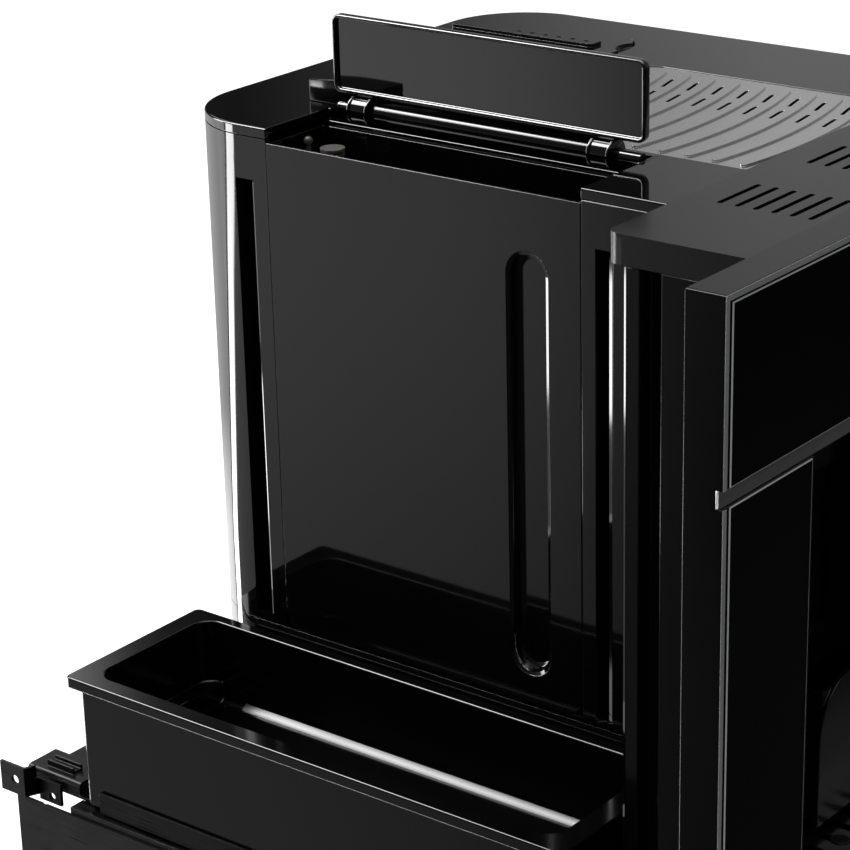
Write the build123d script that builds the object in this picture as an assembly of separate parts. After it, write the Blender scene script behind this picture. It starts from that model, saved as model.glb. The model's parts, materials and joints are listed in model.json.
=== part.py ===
from build123d import *
import os

# A built-in coffee machine on telescopic rails, shown slid home in its cabinet niche with the
# flap over the water tank standing open. Millimetres. +X runs to the right as seen from the front,
# -Y is the front that faces the kitchen, +Z is up. The origin is the centre of the four screw
# holes in the niche floor, on the floor itself.

# ---------------------------------------------------------------- driving dimensions

# Cabinet niche, niche brackets and telescopic rails
NICHE_WIDTH = 560.0
SIDE_GAP = 0.5            # bracket to niche wall
BRACKET_SHEET = 2.0
BRACKET_FOOT = 34.5       # width of the flange that lies on the niche floor
BRACKET_HEIGHT = 44.0
BRACKET_LENGTH = 478.0
HOLE_SPACING_X = 510.0    # the four screw holes in the niche floor
HOLE_SPACING_Y = 400.0
FLOOR_HOLE_R = 2.75
LUG_HEIGHT = 19.0         # rear lug above the bracket web
LUG_TAIL = 13.0           # lug's rear end behind the web's
LUG_LENGTH = 20.0
LUG_JOGGLE = 8.0          # how far the tongue stands towards the machine
LUG_BEND = 4.0            # length of the slanted bend between lug and tongue
TONGUE_LENGTH = 18.0
TONGUE_HEIGHT = 14.0
TONGUE_SINK = 3.0         # tongue's lower edge below the web's top
LUG_HOLE_R = 3.0
TIE_WIDTH = 25.0
RAIL_LIFT = 13.0
RAIL_HEIGHT = 35.0
RAIL_LENGTH = 430.0
RAIL_STACK = 12.7         # thickness of the closed three-part rail
RAIL_SHEET = 1.5
BALL_R = 2.0
BALL_CLEARANCE = 0.05
BALL_PITCH = 22.0
BALLS_PER_CAGE = 7
RIVET_R = 2.0

# Fascia
FASCIA_WIDTH = 595.0
FASCIA_HEIGHT = 455.0
FASCIA_DEPTH = 22.0
FASCIA_LIFT = 3.0         # lower edge above the niche floor
FASCIA_TO_HOLES = 262.0   # front face in front of the screw holes' centre
FASCIA_SHEET = 2.0
GLASS_THICKNESS = 4.5
GLASS_SIDE_MARGIN = 5.5
GLASS_TOP_MARGIN = 4.0
GLASS_BOTTOM_MARGIN = 5.0
UPPER_GLASS_HEIGHT = 89.0
TRIM_HEIGHT = 9.0
TRIM_THICKNESS = 2.0
GLASS_GAP = 0.2
RECESS_WIDTH = 431.8
DISPLAY_WIDTH = 140.0
DISPLAY_HEIGHT = 44.0
DISPLAY_DEPTH = 8.5
DISPLAY_FRAME = 5.0

# Box behind the fascia: vented deck, side columns and the cup recess
DECK_WIDTH = 471.0
DECK_REAR = 107.0         # rear edge behind the fascia's front face
DECK_LAP = 2.5            # top sheet over the body, behind the rear lip
DECK_CORNER_R = 7.0
DECK_DROP = 4.0           # deck top below the fascia top
DECK_LIP = 15.6
DECK_SHEET = 2.0
VENT_LENGTH = 39.0
VENT_WIDTH = 3.2
VENT_PITCH = 10.3
VENTS_PER_GROUP = 6
VENT_GROUP_XS = (61.0, 147.0)
VENT_FRONT = 35.5         # first vent behind the fascia's front face
COLUMN_REAR = 96.0
COLUMN_STRIP = 9.0        # light strip at the column's rear edge
COLUMN_GROOVE = 12.0
COLUMN_GROOVE_DEPTH = 10.0
COLUMN_SHEET = 2.0
COLUMN_FOOT = 10.0
LINER_SHEET = 2.0
LINER_DEPTH = 92.8
LINER_BOTTOM = 8.0

# Machine body
BODY_WIDTH = 325.0
BODY_SETBACK = 105.0      # body front behind the fascia's front face
BODY_DEPTH = 356.0
BODY_TOP = 447.2
BODY_CORNER_R = 54.0
SHELL_WALL = 3.0
SEAM = 0.3
SKIRT_HEIGHT = 6.0
TOP_PLATE = 4.0
BASE_TOP = 141.7
SIDE_SLOT_WIDTH = 10.2    # slot in front of the tank
REAR_SLOT_WIDTH = 13.3    # slot behind the tank
SIDE_SLOT_BOTTOM = 147.0
SIDE_SLOT_TOP = 416.0
SIDE_SLOT_DEPTH = 12.0
SIDE_SLOT_WALL = 4.0
SIDE_SLOT_INSET = 10.5    # slot edge from the tank opening's edge, at the rear
FRONT_SLOT_INSET = 9.6    # slot edge from the tank opening's edge, at the front
REAR_VENT_COUNT = 9
REAR_VENT_PITCH = 12.0
REAR_VENT_LENGTH = 90.0
REAR_VENT_BOTTOM = 200.0
BASE_SCREW_DROP = 22.0    # screws in the rear wall, below and above the seams
LOWER_SCREW_RISE = 20.0
UPPER_SCREW_DROP = 125.0

# Carriage tray that the body stands on
TRAY_SHEET = 1.5
TRAY_RAIL_GAP = 1.5
TRAY_OVERHANG = 5.5       # side flange inside the niche wall
TRAY_FLANGE = 13.5
TRAY_NOTCH = 21.0         # full width ends this far in front of the body's rear
TRAY_FRONT_FLANGE = 60.0
CATCH_INSET = 12.0        # catch and tail end this far in front of the lug's end
CATCH_HEIGHT = 8.5
CATCH_LENGTH = 44.0
CATCH_WIDTH = 24.0
CATCH_SHEET = 2.0
CATCH_GAP = 1.0           # catch to the bracket's tongue
CLIP_WIDTH = 8.0
CLIP_LENGTH = 22.0
CLIP_HEIGHT = 4.0

# Water tank in the left side
TANK_WIDTH = 50.0
TANK_SETBACK = 67.3       # tank front behind the body front
TANK_LENGTH = 213.4
TANK_FLOOR_GAP = 2.3
TANK_TOP_DROP = 8.2       # tank rim below the body top
TANK_WALL = 2.5
TANK_CORNER_R = 12.0
GRIP_WIDTH = 27.5
GRIP_DEPTH = 18.0
GRIP_SETBACK = 20.7       # grip edge behind the tank's front
GRIP_BOTTOM = 17.0
GRIP_TOP = 32.0
BAY_WALL = 2.5
BAY_CLEARANCE = 0.5
SPIGOT_R = 6.0
SPIGOT_LENGTH = 12.0
SPIGOT_BORE_R = 3.0
SPIGOT_SETBACK = 150.0
SPIGOT_RISE = 12.0
SOCKET_WALL = 3.2
SOCKET_CLEARANCE = 0.3

SENSOR_X = -135.0
SENSOR_SETBACK = 25.5     # sensor's middle in front of the tank's rear end
SENSOR_DROP = 5.0         # cap below the tank rim
SENSOR_R = 7.0
SENSOR_STEM_R = 3.0
SENSOR_BALL_R = 2.7

# Flap over the tank and its hinge
HINGE_X = -100.0
HINGE_DROP = 0.2          # hinge axis below the body top
ROD_R = 3.5
ROD_CLEARANCE = 0.08
BARREL_R = 5.2
CLAMP_R = 7.8
CLAMP_WIDTH = 14.0
CLAMP_COLLAR = 1.4
CLAMP_INSET = 27.0        # clamp centre from the flap's front end
CLAMP_SPACING = 165.0
CLAMP_END_GAP = 1.0       # clamp to the beam's end wall, at least
FLAP_HEIGHT = 45.0
FLAP_RISE = 9.0           # flap's lower edge above the hinge axis
FLAP_THICKNESS = 3.5
FLAP_OFFSET = -0.8        # inner face from the hinge axis
FLAP_RIM = 2.0
FLAP_CORNER_R = 5.0
FLAP_END_GAP = 0.5
FLAP_CLIP = 6.0
BEAM_WIDTH = 22.0
BEAM_GAP = 0.5            # beam to tank
BEAM_WALL = 2.0
BEAM_LEFT_TOP_DROP = 5.7
TAB_REACH = 21.0          # flap's rear tab behind the flap
TAB_HEIGHT = 15.5
TAB_SLOPE = 3.5           # its upper edge falls towards the rear
TAB_THICKNESS = 2.2
TAB_CORNER_R = 1.5

# Cup tray on the top
CUP_TRAY_LEFT = -86.5
CUP_TRAY_WIDTH = 163.0
CUP_TRAY_LENGTH = 183.4
CUP_TRAY_SHEET = 1.0
CUP_TRAY_DROP = 0.6
CUP_TRAY_LEDGE = 5.0
CUP_TRAY_CORNER_R = 14.0
RIB_COUNT = 10
RIB_PITCH = 17.0
RIB_WIDTH = 4.4
RIB_HEIGHT = 1.0
RIB_RADIUS = 330.0
RIB_LOW_X = -28.0         # where each rib comes nearest to the front
RIB_FIRST_Y = -140.0
TRAY_SLOT_LENGTH = 19.0
TRAY_SLOT_WIDTH = 2.2
TRAY_SLOT_XS = (19.0, 47.0)
TRAY_SLOT_OFFSET = 6.5

# Bean hopper, grinder and their lid
HOPPER_X = 93.0
HOPPER_FRONT = 60.0
HOPPER_WIDTH = 72.0
HOPPER_LENGTH = 133.0
HOPPER_WALL = 2.5
HOPPER_CORNER_R = 28.0
HOPPER_COLLAR = 40.0
HOPPER_CONE = 66.0
THROAT_R = 22.0
LID_GAP = 0.5
LID_THICKNESS = 3.4
LID_SKIRT = 6.0
LID_RIB_WIDTH = 13.0
LID_RIB_HEIGHT = 2.0
LID_RIB_SHIFT = 4.0
LID_DIMPLES = 6
LID_DIMPLE_PITCH = 10.2
LID_DIMPLE_R = 1.7
NOTCH_R = 15.0            # finger notch at the lid's front
NOTCH_SHIFT = 12.0
GRINDER_Y = 125.0
GRINDER_R = 34.0
GRINDER_HEIGHT = 72.0
GRINDER_WALL = 5.0
BURR_R = 20.0
BURR_HEIGHT = 26.0
BURR_DROP = 22.0          # cone's foot below the grinder case's lid
SHAFT_R = 4.0
SHAFT_CLEARANCE = 0.08
MOTOR_R = 28.0
MOTOR_HEIGHT = 78.0
MOTOR_SHAFT_DEPTH = 20.0
CHUTE_WIDTH = 22.0
ADJUSTER_R = 9.0
ADJUSTER_HEIGHT = 18.0
ADJUSTER_STEM_R = 3.0
ADJUSTER_POST_R = 6.5

# Brew unit
BREW_X = 22.0
BREW_Y = -20.0
BREW_WIDTH = 100.0
BREW_DEPTH = 96.0
BREW_BOTTOM = 160.0
BREW_HEIGHT = 170.0
BREW_PLATE = 6.0
BREW_ARM_DROP = 20.0      # arms to the front wall, below the cage's top
BREW_ARM_HEIGHT = 20.0
CHAMBER_R = 24.0
CHAMBER_BORE_R = 20.0
CHAMBER_HEIGHT = 50.0
CHAMBER_RISE = 46.0
FUNNEL_HEIGHT = 12.0
PISTON_CLEARANCE = 0.1
PISTON_HEAD = 9.0
PISTON_ROD_R = 6.0
PISTON_TRAVEL = 28.0
NUT_LEAD = 4.0            # piston travel for one turn of the nut
GEAR_R = 22.0
GEAR_HEIGHT = 9.0
GEAR_TEETH = 24

# Water path and electrics
THERMOBLOCK_SIZE = (36.0, 90.0, 80.0)
THERMOBLOCK_FRONT = 17.0
THERMOBLOCK_RISE = 50.0
PUMP_SIZE = (46.0, 84.0, 44.0)
PUMP_X = -80.0
PUMP_Y = 100.0
METER_R = 16.0
METER_HEIGHT = 22.0
METER_X = -70.0
METER_Y = 20.0
HOSE_R = 3.0
BOARD_WIDTH = 135.0
BOARD_HEIGHT = 180.0
BOARD_SHEET = 1.6
BOARD_X = -28.0
BOARD_BOTTOM = 210.0
STANDOFF = 5.0
TRANSFORMER = (40.0, 30.0, 40.0)
RELAY_BANK = (36.0, 16.0, 20.0)
HEAT_SINK = (60.0, 12.0, 30.0)
PART_MARGIN = 14.0        # components inside the board's edges
INLET_WIDTH = 27.0
INLET_HEIGHT = 20.0
INLET_X = -60.0
INLET_Z = 92.0

# Front of the recess: drip tray, grounds box and coffee outlet
DRIP_FRONT = 4.0          # behind the fascia's front face
DRIP_HEIGHT = 46.0
DRIP_SIDE_GAP = 2.5
DRIP_REAR_GAP = 3.3
DRIP_WALL = 2.5
DRIP_LIFT = 0.4
GRID_SHEET = 2.0
GRID_MARGIN = 4.0
GRID_SLOTS = 25
GRID_SLOT_LENGTH = 26.0
GRID_SLOT_WIDTH = 6.5
FLOAT_R = 5.5
FLOAT_X = -64.0
FLOAT_Y = 64.0            # behind the fascia's front face
FLOAT_CLEARANCE = 0.5
BOX_WIDTH = 126.0
BOX_FRONT = 76.0          # front plate behind the fascia's front face
BOX_LENGTH = 170.0
BOX_HEIGHT = 82.0
BOX_LIFT = 64.0
BOX_WALL = 2.5
BOX_PLATE = 3.0
BOX_PLATE_MARGIN = 6.0
BOX_ARCH_R = 36.0
BOX_CLEARANCE = 3.0
OUTLET_WIDTH = 72.0
OUTLET_DEPTH = 66.0
OUTLET_HEIGHT = 97.0
OUTLET_BOTTOM = 170.0
GUIDE_HEAD_WIDTH = 24.0
GUIDE_NECK_WIDTH = 16.0
GUIDE_HEAD_DEPTH = 3.0
GUIDE_NECK_DEPTH = 7.3
GUIDE_BOTTOM = 160.0
GUIDE_TOP = 345.0
GUIDE_CLEARANCE = 0.4
SPOUT_R = 5.0
SPOUT_BORE_R = 3.0
SPOUT_SPACING = 26.0
SPOUT_LENGTH = 14.0
LAMP_R = 8.0
LAMP_HEIGHT = 2.0
LAMP_X = 90.0

# Accessory tray beside the body
PAN_WIDTH = 115.0
PAN_LENGTH = 354.0
PAN_SIDE_GAP = 1.5        # rim to the body side
PAN_FRONT = 103.0         # behind the fascia's front face
PAN_TOP = 136.3
PAN_RIM_HEIGHT = 7.0
PAN_RIM_R = 4.0           # outer corners
PAN_OUTER_RIM = 12.0      # rim's top at the niche wall
PAN_INNER_RIM = 8.0       # at the body
PAN_END_RIM = 14.0
PAN_OVERHANG = 6.5        # rim beyond the tub at the niche wall
PAN_INNER_OVERHANG = 2.5
PAN_END_OVERHANG = 4.5
PAN_DEPTH = 52.0
PAN_FLOOR = 3.0
PAN_SKIRT = 4.0           # wall round the hollow underside
PAN_CORNER_R = 12.0
PAN_FLOOR_R = 6.0
PAN_STEP_LENGTH = 12.0
PAN_STEP_HEIGHT = 12.0
SEAT = 0.3                # a loose piece above its seat

# Fasteners
SCREW_R = 2.0
SCREW_HEAD_R = 3.8
SCREW_HEAD = 2.0
SCREW_CLEARANCE = 0.1

# ---------------------------------------------------------------- derived places

WALL_X = NICHE_WIDTH / 2 - SIDE_GAP
RAIL_X = WALL_X - BRACKET_SHEET
STACK_X = RAIL_X - RAIL_STACK
RAIL_MID_Z = RAIL_LIFT + RAIL_HEIGHT / 2
FRONT_Y = -FASCIA_TO_HOLES
FASCIA_BACK = FRONT_Y + FASCIA_DEPTH
FASCIA_TOP = FASCIA_LIFT + FASCIA_HEIGHT
PLATE_FRONT = FRONT_Y + GLASS_THICKNESS
PLATE_BACK = PLATE_FRONT + FASCIA_SHEET
BRACKET_FRONT = FASCIA_BACK + 5.0
BRACKET_REAR = BRACKET_FRONT + BRACKET_LENGTH
LUG_REAR = BRACKET_REAR + LUG_TAIL
TAIL_REAR = LUG_REAR - CATCH_INSET
RAIL_FRONT = BRACKET_FRONT + 5.0
RAIL_REAR = RAIL_FRONT + RAIL_LENGTH
GLASS_TOP = FASCIA_TOP - GLASS_TOP_MARGIN
TRIM_TOP = GLASS_TOP - UPPER_GLASS_HEIGHT
RECESS_TOP = TRIM_TOP - TRIM_HEIGHT
RECESS_HALF = RECESS_WIDTH / 2
LINER_HALF = RECESS_HALF + LINER_SHEET - GLASS_GAP
LINER_BACK = PLATE_BACK + LINER_DEPTH
DECK_TOP = FASCIA_TOP - DECK_DROP
DECK_BACK = FRONT_Y + DECK_REAR
DECK_UNDER = DECK_TOP - DECK_LIP
DECK_HALF = DECK_WIDTH / 2
BODY_HALF = BODY_WIDTH / 2
BODY_FRONT = FRONT_Y + BODY_SETBACK
BODY_REAR = BODY_FRONT + BODY_DEPTH
SKIRT_BOTTOM = BODY_TOP - SKIRT_HEIGHT
SHELL_TOP = SKIRT_BOTTOM - SEAM
SHELL_BOTTOM = BASE_TOP + SEAM
PLATE_UNDER = BODY_TOP - TOP_PLATE
TRAY_UNDER = RAIL_LIFT + RAIL_HEIGHT + TRAY_RAIL_GAP
TRAY_TOP = TRAY_UNDER + TRAY_SHEET
TRAY_HALF = NICHE_WIDTH / 2 - TRAY_OVERHANG
TRAY_FRONT = LINER_BACK
TANK_FRONT = BODY_FRONT + TANK_SETBACK
TANK_REAR = TANK_FRONT + TANK_LENGTH
TANK_INNER = -BODY_HALF + TANK_WIDTH
TANK_BOTTOM = BASE_TOP + TANK_FLOOR_GAP
TANK_TOP = BODY_TOP - TANK_TOP_DROP
SPIGOT_Y = TANK_FRONT + SPIGOT_SETBACK
SPIGOT_Z = TANK_BOTTOM + SPIGOT_RISE
BAY_X = TANK_INNER + 2.0
HINGE_Z = BODY_TOP - HINGE_DROP
BEAM_LEFT = TANK_INNER + BEAM_GAP
BEAM_RIGHT = BEAM_LEFT + BEAM_WIDTH
BEAM_FLOOR = HINGE_Z - CLAMP_R
CLAMP_YS = (TANK_FRONT + CLAMP_INSET, TANK_FRONT + CLAMP_INSET + CLAMP_SPACING)
CLAMP_REACH = CLAMP_WIDTH / 2 + CLAMP_END_GAP + BEAM_WALL
BEAM_FRONT = min(TANK_FRONT, CLAMP_YS[0] - CLAMP_REACH)
BEAM_REAR = max(TANK_REAR, CLAMP_YS[1] + CLAMP_REACH)
REAR_SLOT_Y = TANK_REAR + SIDE_SLOT_INSET
FRONT_SLOT_Y = TANK_FRONT - FRONT_SLOT_INSET - SIDE_SLOT_WIDTH
HOPPER_TOP = BODY_TOP - 2.7
THROAT_Z = HOPPER_TOP - HOPPER_COLLAR - HOPPER_CONE
GRINDER_BOTTOM = THROAT_Z - GRINDER_HEIGHT
MOTOR_TOP = GRINDER_BOTTOM - 4.0
BOX_Y = FRONT_Y + BOX_FRONT
OUTLET_BACK = LINER_BACK - LINER_SHEET
GUIDE_FACE = OUTLET_BACK - GUIDE_NECK_DEPTH - GUIDE_HEAD_DEPTH
PAN_INNER = -BODY_HALF - PAN_SIDE_GAP
PAN_OUTER = PAN_INNER - PAN_WIDTH
PAN_Y = FRONT_Y + PAN_FRONT
PAN_BOTTOM = TRAY_TOP + SEAT
PAN_FLOOR_Z = PAN_TOP - PAN_DEPTH


# ---------------------------------------------------------------- helpers

def block(x0, x1, y0, y1, z0, z1):
    """A box from its low and high corners."""
    centre = Pos((x0 + x1) / 2, (y0 + y1) / 2, (z0 + z1) / 2)
    return centre * Box(x1 - x0, y1 - y0, z1 - z0)


def rod(axis, a, b, low, high, radius):
    """A cylinder along an axis; a and b are its place on the other two axes, in X, Y, Z order."""
    length = high - low
    middle = (low + high) / 2
    if axis == "x":
        return Pos(middle, a, b) * Rot(0, 90, 0) * Cylinder(radius, length)
    if axis == "y":
        return Pos(a, middle, b) * Rot(90, 0, 0) * Cylinder(radius, length)
    return Pos(a, b, middle) * Cylinder(radius, length)


def rounded(solid, axis, radius):
    """The solid with its edges along an axis rounded."""
    return fillet(solid.edges().filter_by(axis), radius)


def prism(points, low, high):
    """A polygon in plan, pulled up from low to high."""
    face = make_face(Polyline(*points, close=True))
    return Pos(0, 0, low) * extrude(face, high - low)


def both_sides(left):
    """The left piece and its mirror image on the right."""
    return Compound(children=[left, mirror(left, Plane.YZ)])


def fused(first, *others):
    """The pieces joined into one."""
    whole = first
    for other in others:
        whole = whole + other
    return whole


def solids_of(pieces):
    """Separate solids kept side by side in one part."""
    return Compound(children=list(pieces))


# ---------------------------------------------------------------- niche brackets and rails

RIVET_YS = [RAIL_FRONT + RAIL_LENGTH * share for share in (0.12, 0.5, 0.88)]


def niche_bracket():
    """Angle on the niche floor whose web carries the outer rail, with a joggled rear lug."""
    inner = WALL_X - BRACKET_SHEET
    foot = block(-WALL_X, -WALL_X + BRACKET_FOOT, BRACKET_FRONT, BRACKET_REAR, 0, BRACKET_SHEET)
    web = block(-WALL_X, -inner, BRACKET_FRONT, BRACKET_REAR, 0, BRACKET_HEIGHT)
    bend = LUG_REAR - LUG_LENGTH
    tongue_rear = bend - LUG_BEND
    tongue_front = tongue_rear - TONGUE_LENGTH
    slope = LUG_BEND / LUG_JOGGLE
    ease = BRACKET_SHEET * ((1 + slope**2) ** 0.5 - slope)
    lug_top = BRACKET_HEIGHT + LUG_HEIGHT
    lug = prism(
        [
            (-WALL_X, LUG_REAR),
            (-inner, LUG_REAR),
            (-inner, bend + ease),
            (-inner + LUG_JOGGLE, tongue_rear + ease),
            (-inner + LUG_JOGGLE, tongue_front),
            (-WALL_X + LUG_JOGGLE, tongue_front),
            (-WALL_X + LUG_JOGGLE, tongue_rear),
            (-WALL_X, bend),
        ],
        BRACKET_HEIGHT,
        lug_top,
    )
    tongue_low = BRACKET_HEIGHT - TONGUE_SINK
    tongue_high = tongue_low + TONGUE_HEIGHT
    lug -= block(
        -inner, -inner + LUG_JOGGLE + 1, tongue_front - 1, bend - LUG_BEND / 2, tongue_high, lug_top + 1
    )
    lug += block(
        -WALL_X + LUG_JOGGLE, -inner + LUG_JOGGLE, tongue_front, tongue_rear, tongue_low, tongue_high
    )
    angle = fused(foot, web, lug)
    for y in (-HOLE_SPACING_Y / 2, HOLE_SPACING_Y / 2):
        angle -= rod("z", -HOLE_SPACING_X / 2, y, -1, BRACKET_SHEET + 1, FLOOR_HOLE_R)
    lug_z = BRACKET_HEIGHT + LUG_HEIGHT / 2
    angle -= rod("x", LUG_REAR - 0.6 * LUG_LENGTH, lug_z, -WALL_X - 1, -inner + 1, LUG_HOLE_R)
    tongue_y = tongue_rear - 0.6 * TONGUE_LENGTH
    tongue_z = tongue_low + TONGUE_HEIGHT / 3
    angle -= rod("x", tongue_y, tongue_z, -WALL_X + 1, -inner + LUG_JOGGLE + 1, LUG_HOLE_R * 0.8)
    for y in RIVET_YS:
        angle -= rod("x", y, RAIL_MID_Z, -WALL_X - 1, -inner + 1, RIVET_R + SCREW_CLEARANCE)
    return angle


def rear_tie_bar():
    """Flat bar that keeps the two brackets parallel at the rear."""
    reach = WALL_X - BRACKET_FOOT / 2
    rear = BRACKET_REAR - 6.0
    return block(-reach, reach, rear - TIE_WIDTH, rear, BRACKET_SHEET, 2 * BRACKET_SHEET)


def channel(web_x, open_x, half_height, sheet):
    """A rail section: a web with two flanges that reach towards the machine or the wall."""
    low_x = min(web_x, open_x)
    high_x = max(web_x, open_x)
    low = RAIL_MID_Z - half_height
    high = RAIL_MID_Z + half_height
    side = block(low_x, high_x, RAIL_FRONT, RAIL_REAR, low, high)
    step = sheet if open_x > web_x else -sheet
    hollow_from = min(web_x + step, open_x + step)
    hollow_to = max(web_x + step, open_x + step)
    return side - block(
        hollow_from, hollow_to, RAIL_FRONT - 1, RAIL_REAR + 1, low + sheet, high - sheet
    )


BALL_GAP = 2 * (BALL_R + BALL_CLEARANCE)
OUTER_HALF = RAIL_HEIGHT / 2
MIDDLE_HALF = OUTER_HALF - RAIL_SHEET - BALL_GAP
INNER_HALF = MIDDLE_HALF - RAIL_SHEET - BALL_GAP


def outer_rail():
    """Fixed rail member, open towards the machine."""
    rail = channel(-RAIL_X, -RAIL_X + 0.85 * RAIL_STACK, OUTER_HALF, RAIL_SHEET)
    for y in RIVET_YS:
        rail -= rod("x", y, RAIL_MID_Z, -RAIL_X - 1, -RAIL_X + 3, RIVET_R + SCREW_CLEARANCE)
    return rail


def middle_rail():
    """Middle rail member, which runs out half as far as the machine."""
    return channel(-RAIL_X + 0.3 * RAIL_STACK, -RAIL_X + 0.9 * RAIL_STACK, MIDDLE_HALF, RAIL_SHEET)


def inner_rail():
    """Inner rail member, on the carriage tray's web."""
    rail = channel(-STACK_X, -STACK_X - 0.45 * RAIL_STACK, INNER_HALF, RAIL_SHEET)
    for y in RIVET_YS:
        rail -= rod("x", y, RAIL_MID_Z, -STACK_X - 3, -STACK_X + 1, RIVET_R + SCREW_CLEARANCE)
    return rail


def ball_cage(x, z, first_y):
    """A strip with bearing balls that runs between two flanges."""
    length = BALL_PITCH * (BALLS_PER_CAGE - 1) + 3 * BALL_R
    strip = block(
        x - BALL_R, x + BALL_R, first_y - 1.5 * BALL_R, first_y - 1.5 * BALL_R + length,
        z - BALL_R / 4, z + BALL_R / 4,
    )
    for index in range(BALLS_PER_CAGE):
        strip += Pos(x, first_y + index * BALL_PITCH, z) * Sphere(BALL_R)
    return strip


def ball_cages():
    """Eight cages: above and below, inside and outside the middle rail, left and right."""
    outer_z = OUTER_HALF - RAIL_SHEET - BALL_GAP / 2
    inner_z = MIDDLE_HALF - RAIL_SHEET - BALL_GAP / 2
    cages = []
    for way in (-1, 1):
        rear_y = RAIL_REAR - 0.1 * RAIL_LENGTH - BALL_PITCH * (BALLS_PER_CAGE - 1)
        cages.append(ball_cage(-RAIL_X + 0.55 * RAIL_STACK, RAIL_MID_Z + way * outer_z, rear_y))
        front_y = RAIL_FRONT + 0.08 * RAIL_LENGTH
        cages.append(ball_cage(-RAIL_X + 0.72 * RAIL_STACK, RAIL_MID_Z + way * inner_z, front_y))
    return solids_of(cages + [mirror(cage, Plane.YZ) for cage in cages])


def rail_rivets():
    """Rivets that hold the outer rails to the brackets."""
    rivets = []
    for y in RIVET_YS:
        shank = rod("x", y, RAIL_MID_Z, -WALL_X, -RAIL_X + RAIL_SHEET, RIVET_R)
        head_from = -RAIL_X + RAIL_SHEET
        head = rod("x", y, RAIL_MID_Z, head_from, head_from + 1.0, 1.7 * RIVET_R)
        rivets.append(shank + head)
    return solids_of(rivets + [mirror(rivet, Plane.YZ) for rivet in rivets])


# ---------------------------------------------------------------- carriage tray

BOX_OPENING = BOX_WIDTH / 2 + BOX_CLEARANCE
TAIL_HALF = WALL_X - LUG_JOGGLE - BRACKET_SHEET - CATCH_GAP


def carriage_tray():
    """Folded sheet that hangs between the inner rails and carries body, fascia and accessory tray."""
    notch_y = BODY_REAR - TRAY_NOTCH
    sheet = block(-TRAY_HALF, TRAY_HALF, TRAY_FRONT, notch_y, TRAY_UNDER, TRAY_TOP)
    sheet += block(-TAIL_HALF, TAIL_HALF, notch_y, TAIL_REAR, TRAY_UNDER, TRAY_TOP)
    for way in (-1, 1):
        outer = way * TRAY_HALF
        flange_inner = way * (TRAY_HALF - TRAY_SHEET)
        flange_top = TRAY_UNDER + TRAY_FLANGE
        sheet += block(
            min(outer, flange_inner), max(outer, flange_inner), TRAY_FRONT, notch_y,
            TRAY_UNDER, flange_top,
        )
        web_outer = way * STACK_X
        web_inner = way * (STACK_X - TRAY_SHEET)
        web = block(
            min(web_outer, web_inner), max(web_outer, web_inner), RAIL_FRONT, RAIL_REAR,
            RAIL_LIFT + 7.0, TRAY_TOP,
        )
        tongue = block(
            min(web_outer, way * DECK_HALF), max(web_outer, way * DECK_HALF),
            PLATE_BACK, TRAY_FRONT, TRAY_UNDER, TRAY_TOP,
        )
        sheet += web + tongue
        front_in = way * BOX_OPENING
        front_out = way * (BODY_HALF - 5.0)
        sheet += block(
            min(front_in, front_out), max(front_in, front_out), TRAY_FRONT,
            TRAY_FRONT + TRAY_SHEET, TRAY_UNDER, TRAY_UNDER + TRAY_FRONT_FLANGE,
        )
        for y in RIVET_YS:
            sheet -= rod(
                "x", y, RAIL_MID_Z, min(web_outer, web_inner) - 1, max(web_outer, web_inner) + 1,
                RIVET_R + SCREW_CLEARANCE,
            )
    return sheet


def rear_catch():
    """Bent catch on the tray's tail that meets the bracket's lug when the machine is slid home."""
    left = -TAIL_HALF
    front = TAIL_REAR - CATCH_LENGTH
    top = TRAY_TOP + CATCH_HEIGHT
    hood = block(left, left + CATCH_WIDTH, front, TAIL_REAR, TRAY_TOP, top)
    corner = hood.edges().filter_by(Axis.Y).group_by(Axis.Z)[-1].sort_by(Axis.X)[0]
    hood = fillet(corner, 1.5 * CATCH_SHEET)
    hood -= block(
        left + CATCH_SHEET, left + CATCH_WIDTH + 1, front - 1, TAIL_REAR + 1, TRAY_TOP, top - CATCH_SHEET
    )
    clip_x = left + CATCH_WIDTH / 4
    middle_y = TAIL_REAR - CATCH_LENGTH / 2
    half = CLIP_LENGTH / 2
    clip = block(clip_x, clip_x + CLIP_WIDTH, middle_y - half, middle_y + half, top, top + CLIP_HEIGHT)
    sheet = 0.75 * CATCH_SHEET
    clip -= block(
        clip_x + sheet, clip_x + CLIP_WIDTH - sheet, middle_y - half - 1, middle_y + half + 1,
        top + sheet, top + CLIP_HEIGHT + 1,
    )
    return hood + clip


# ---------------------------------------------------------------- fascia

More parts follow.
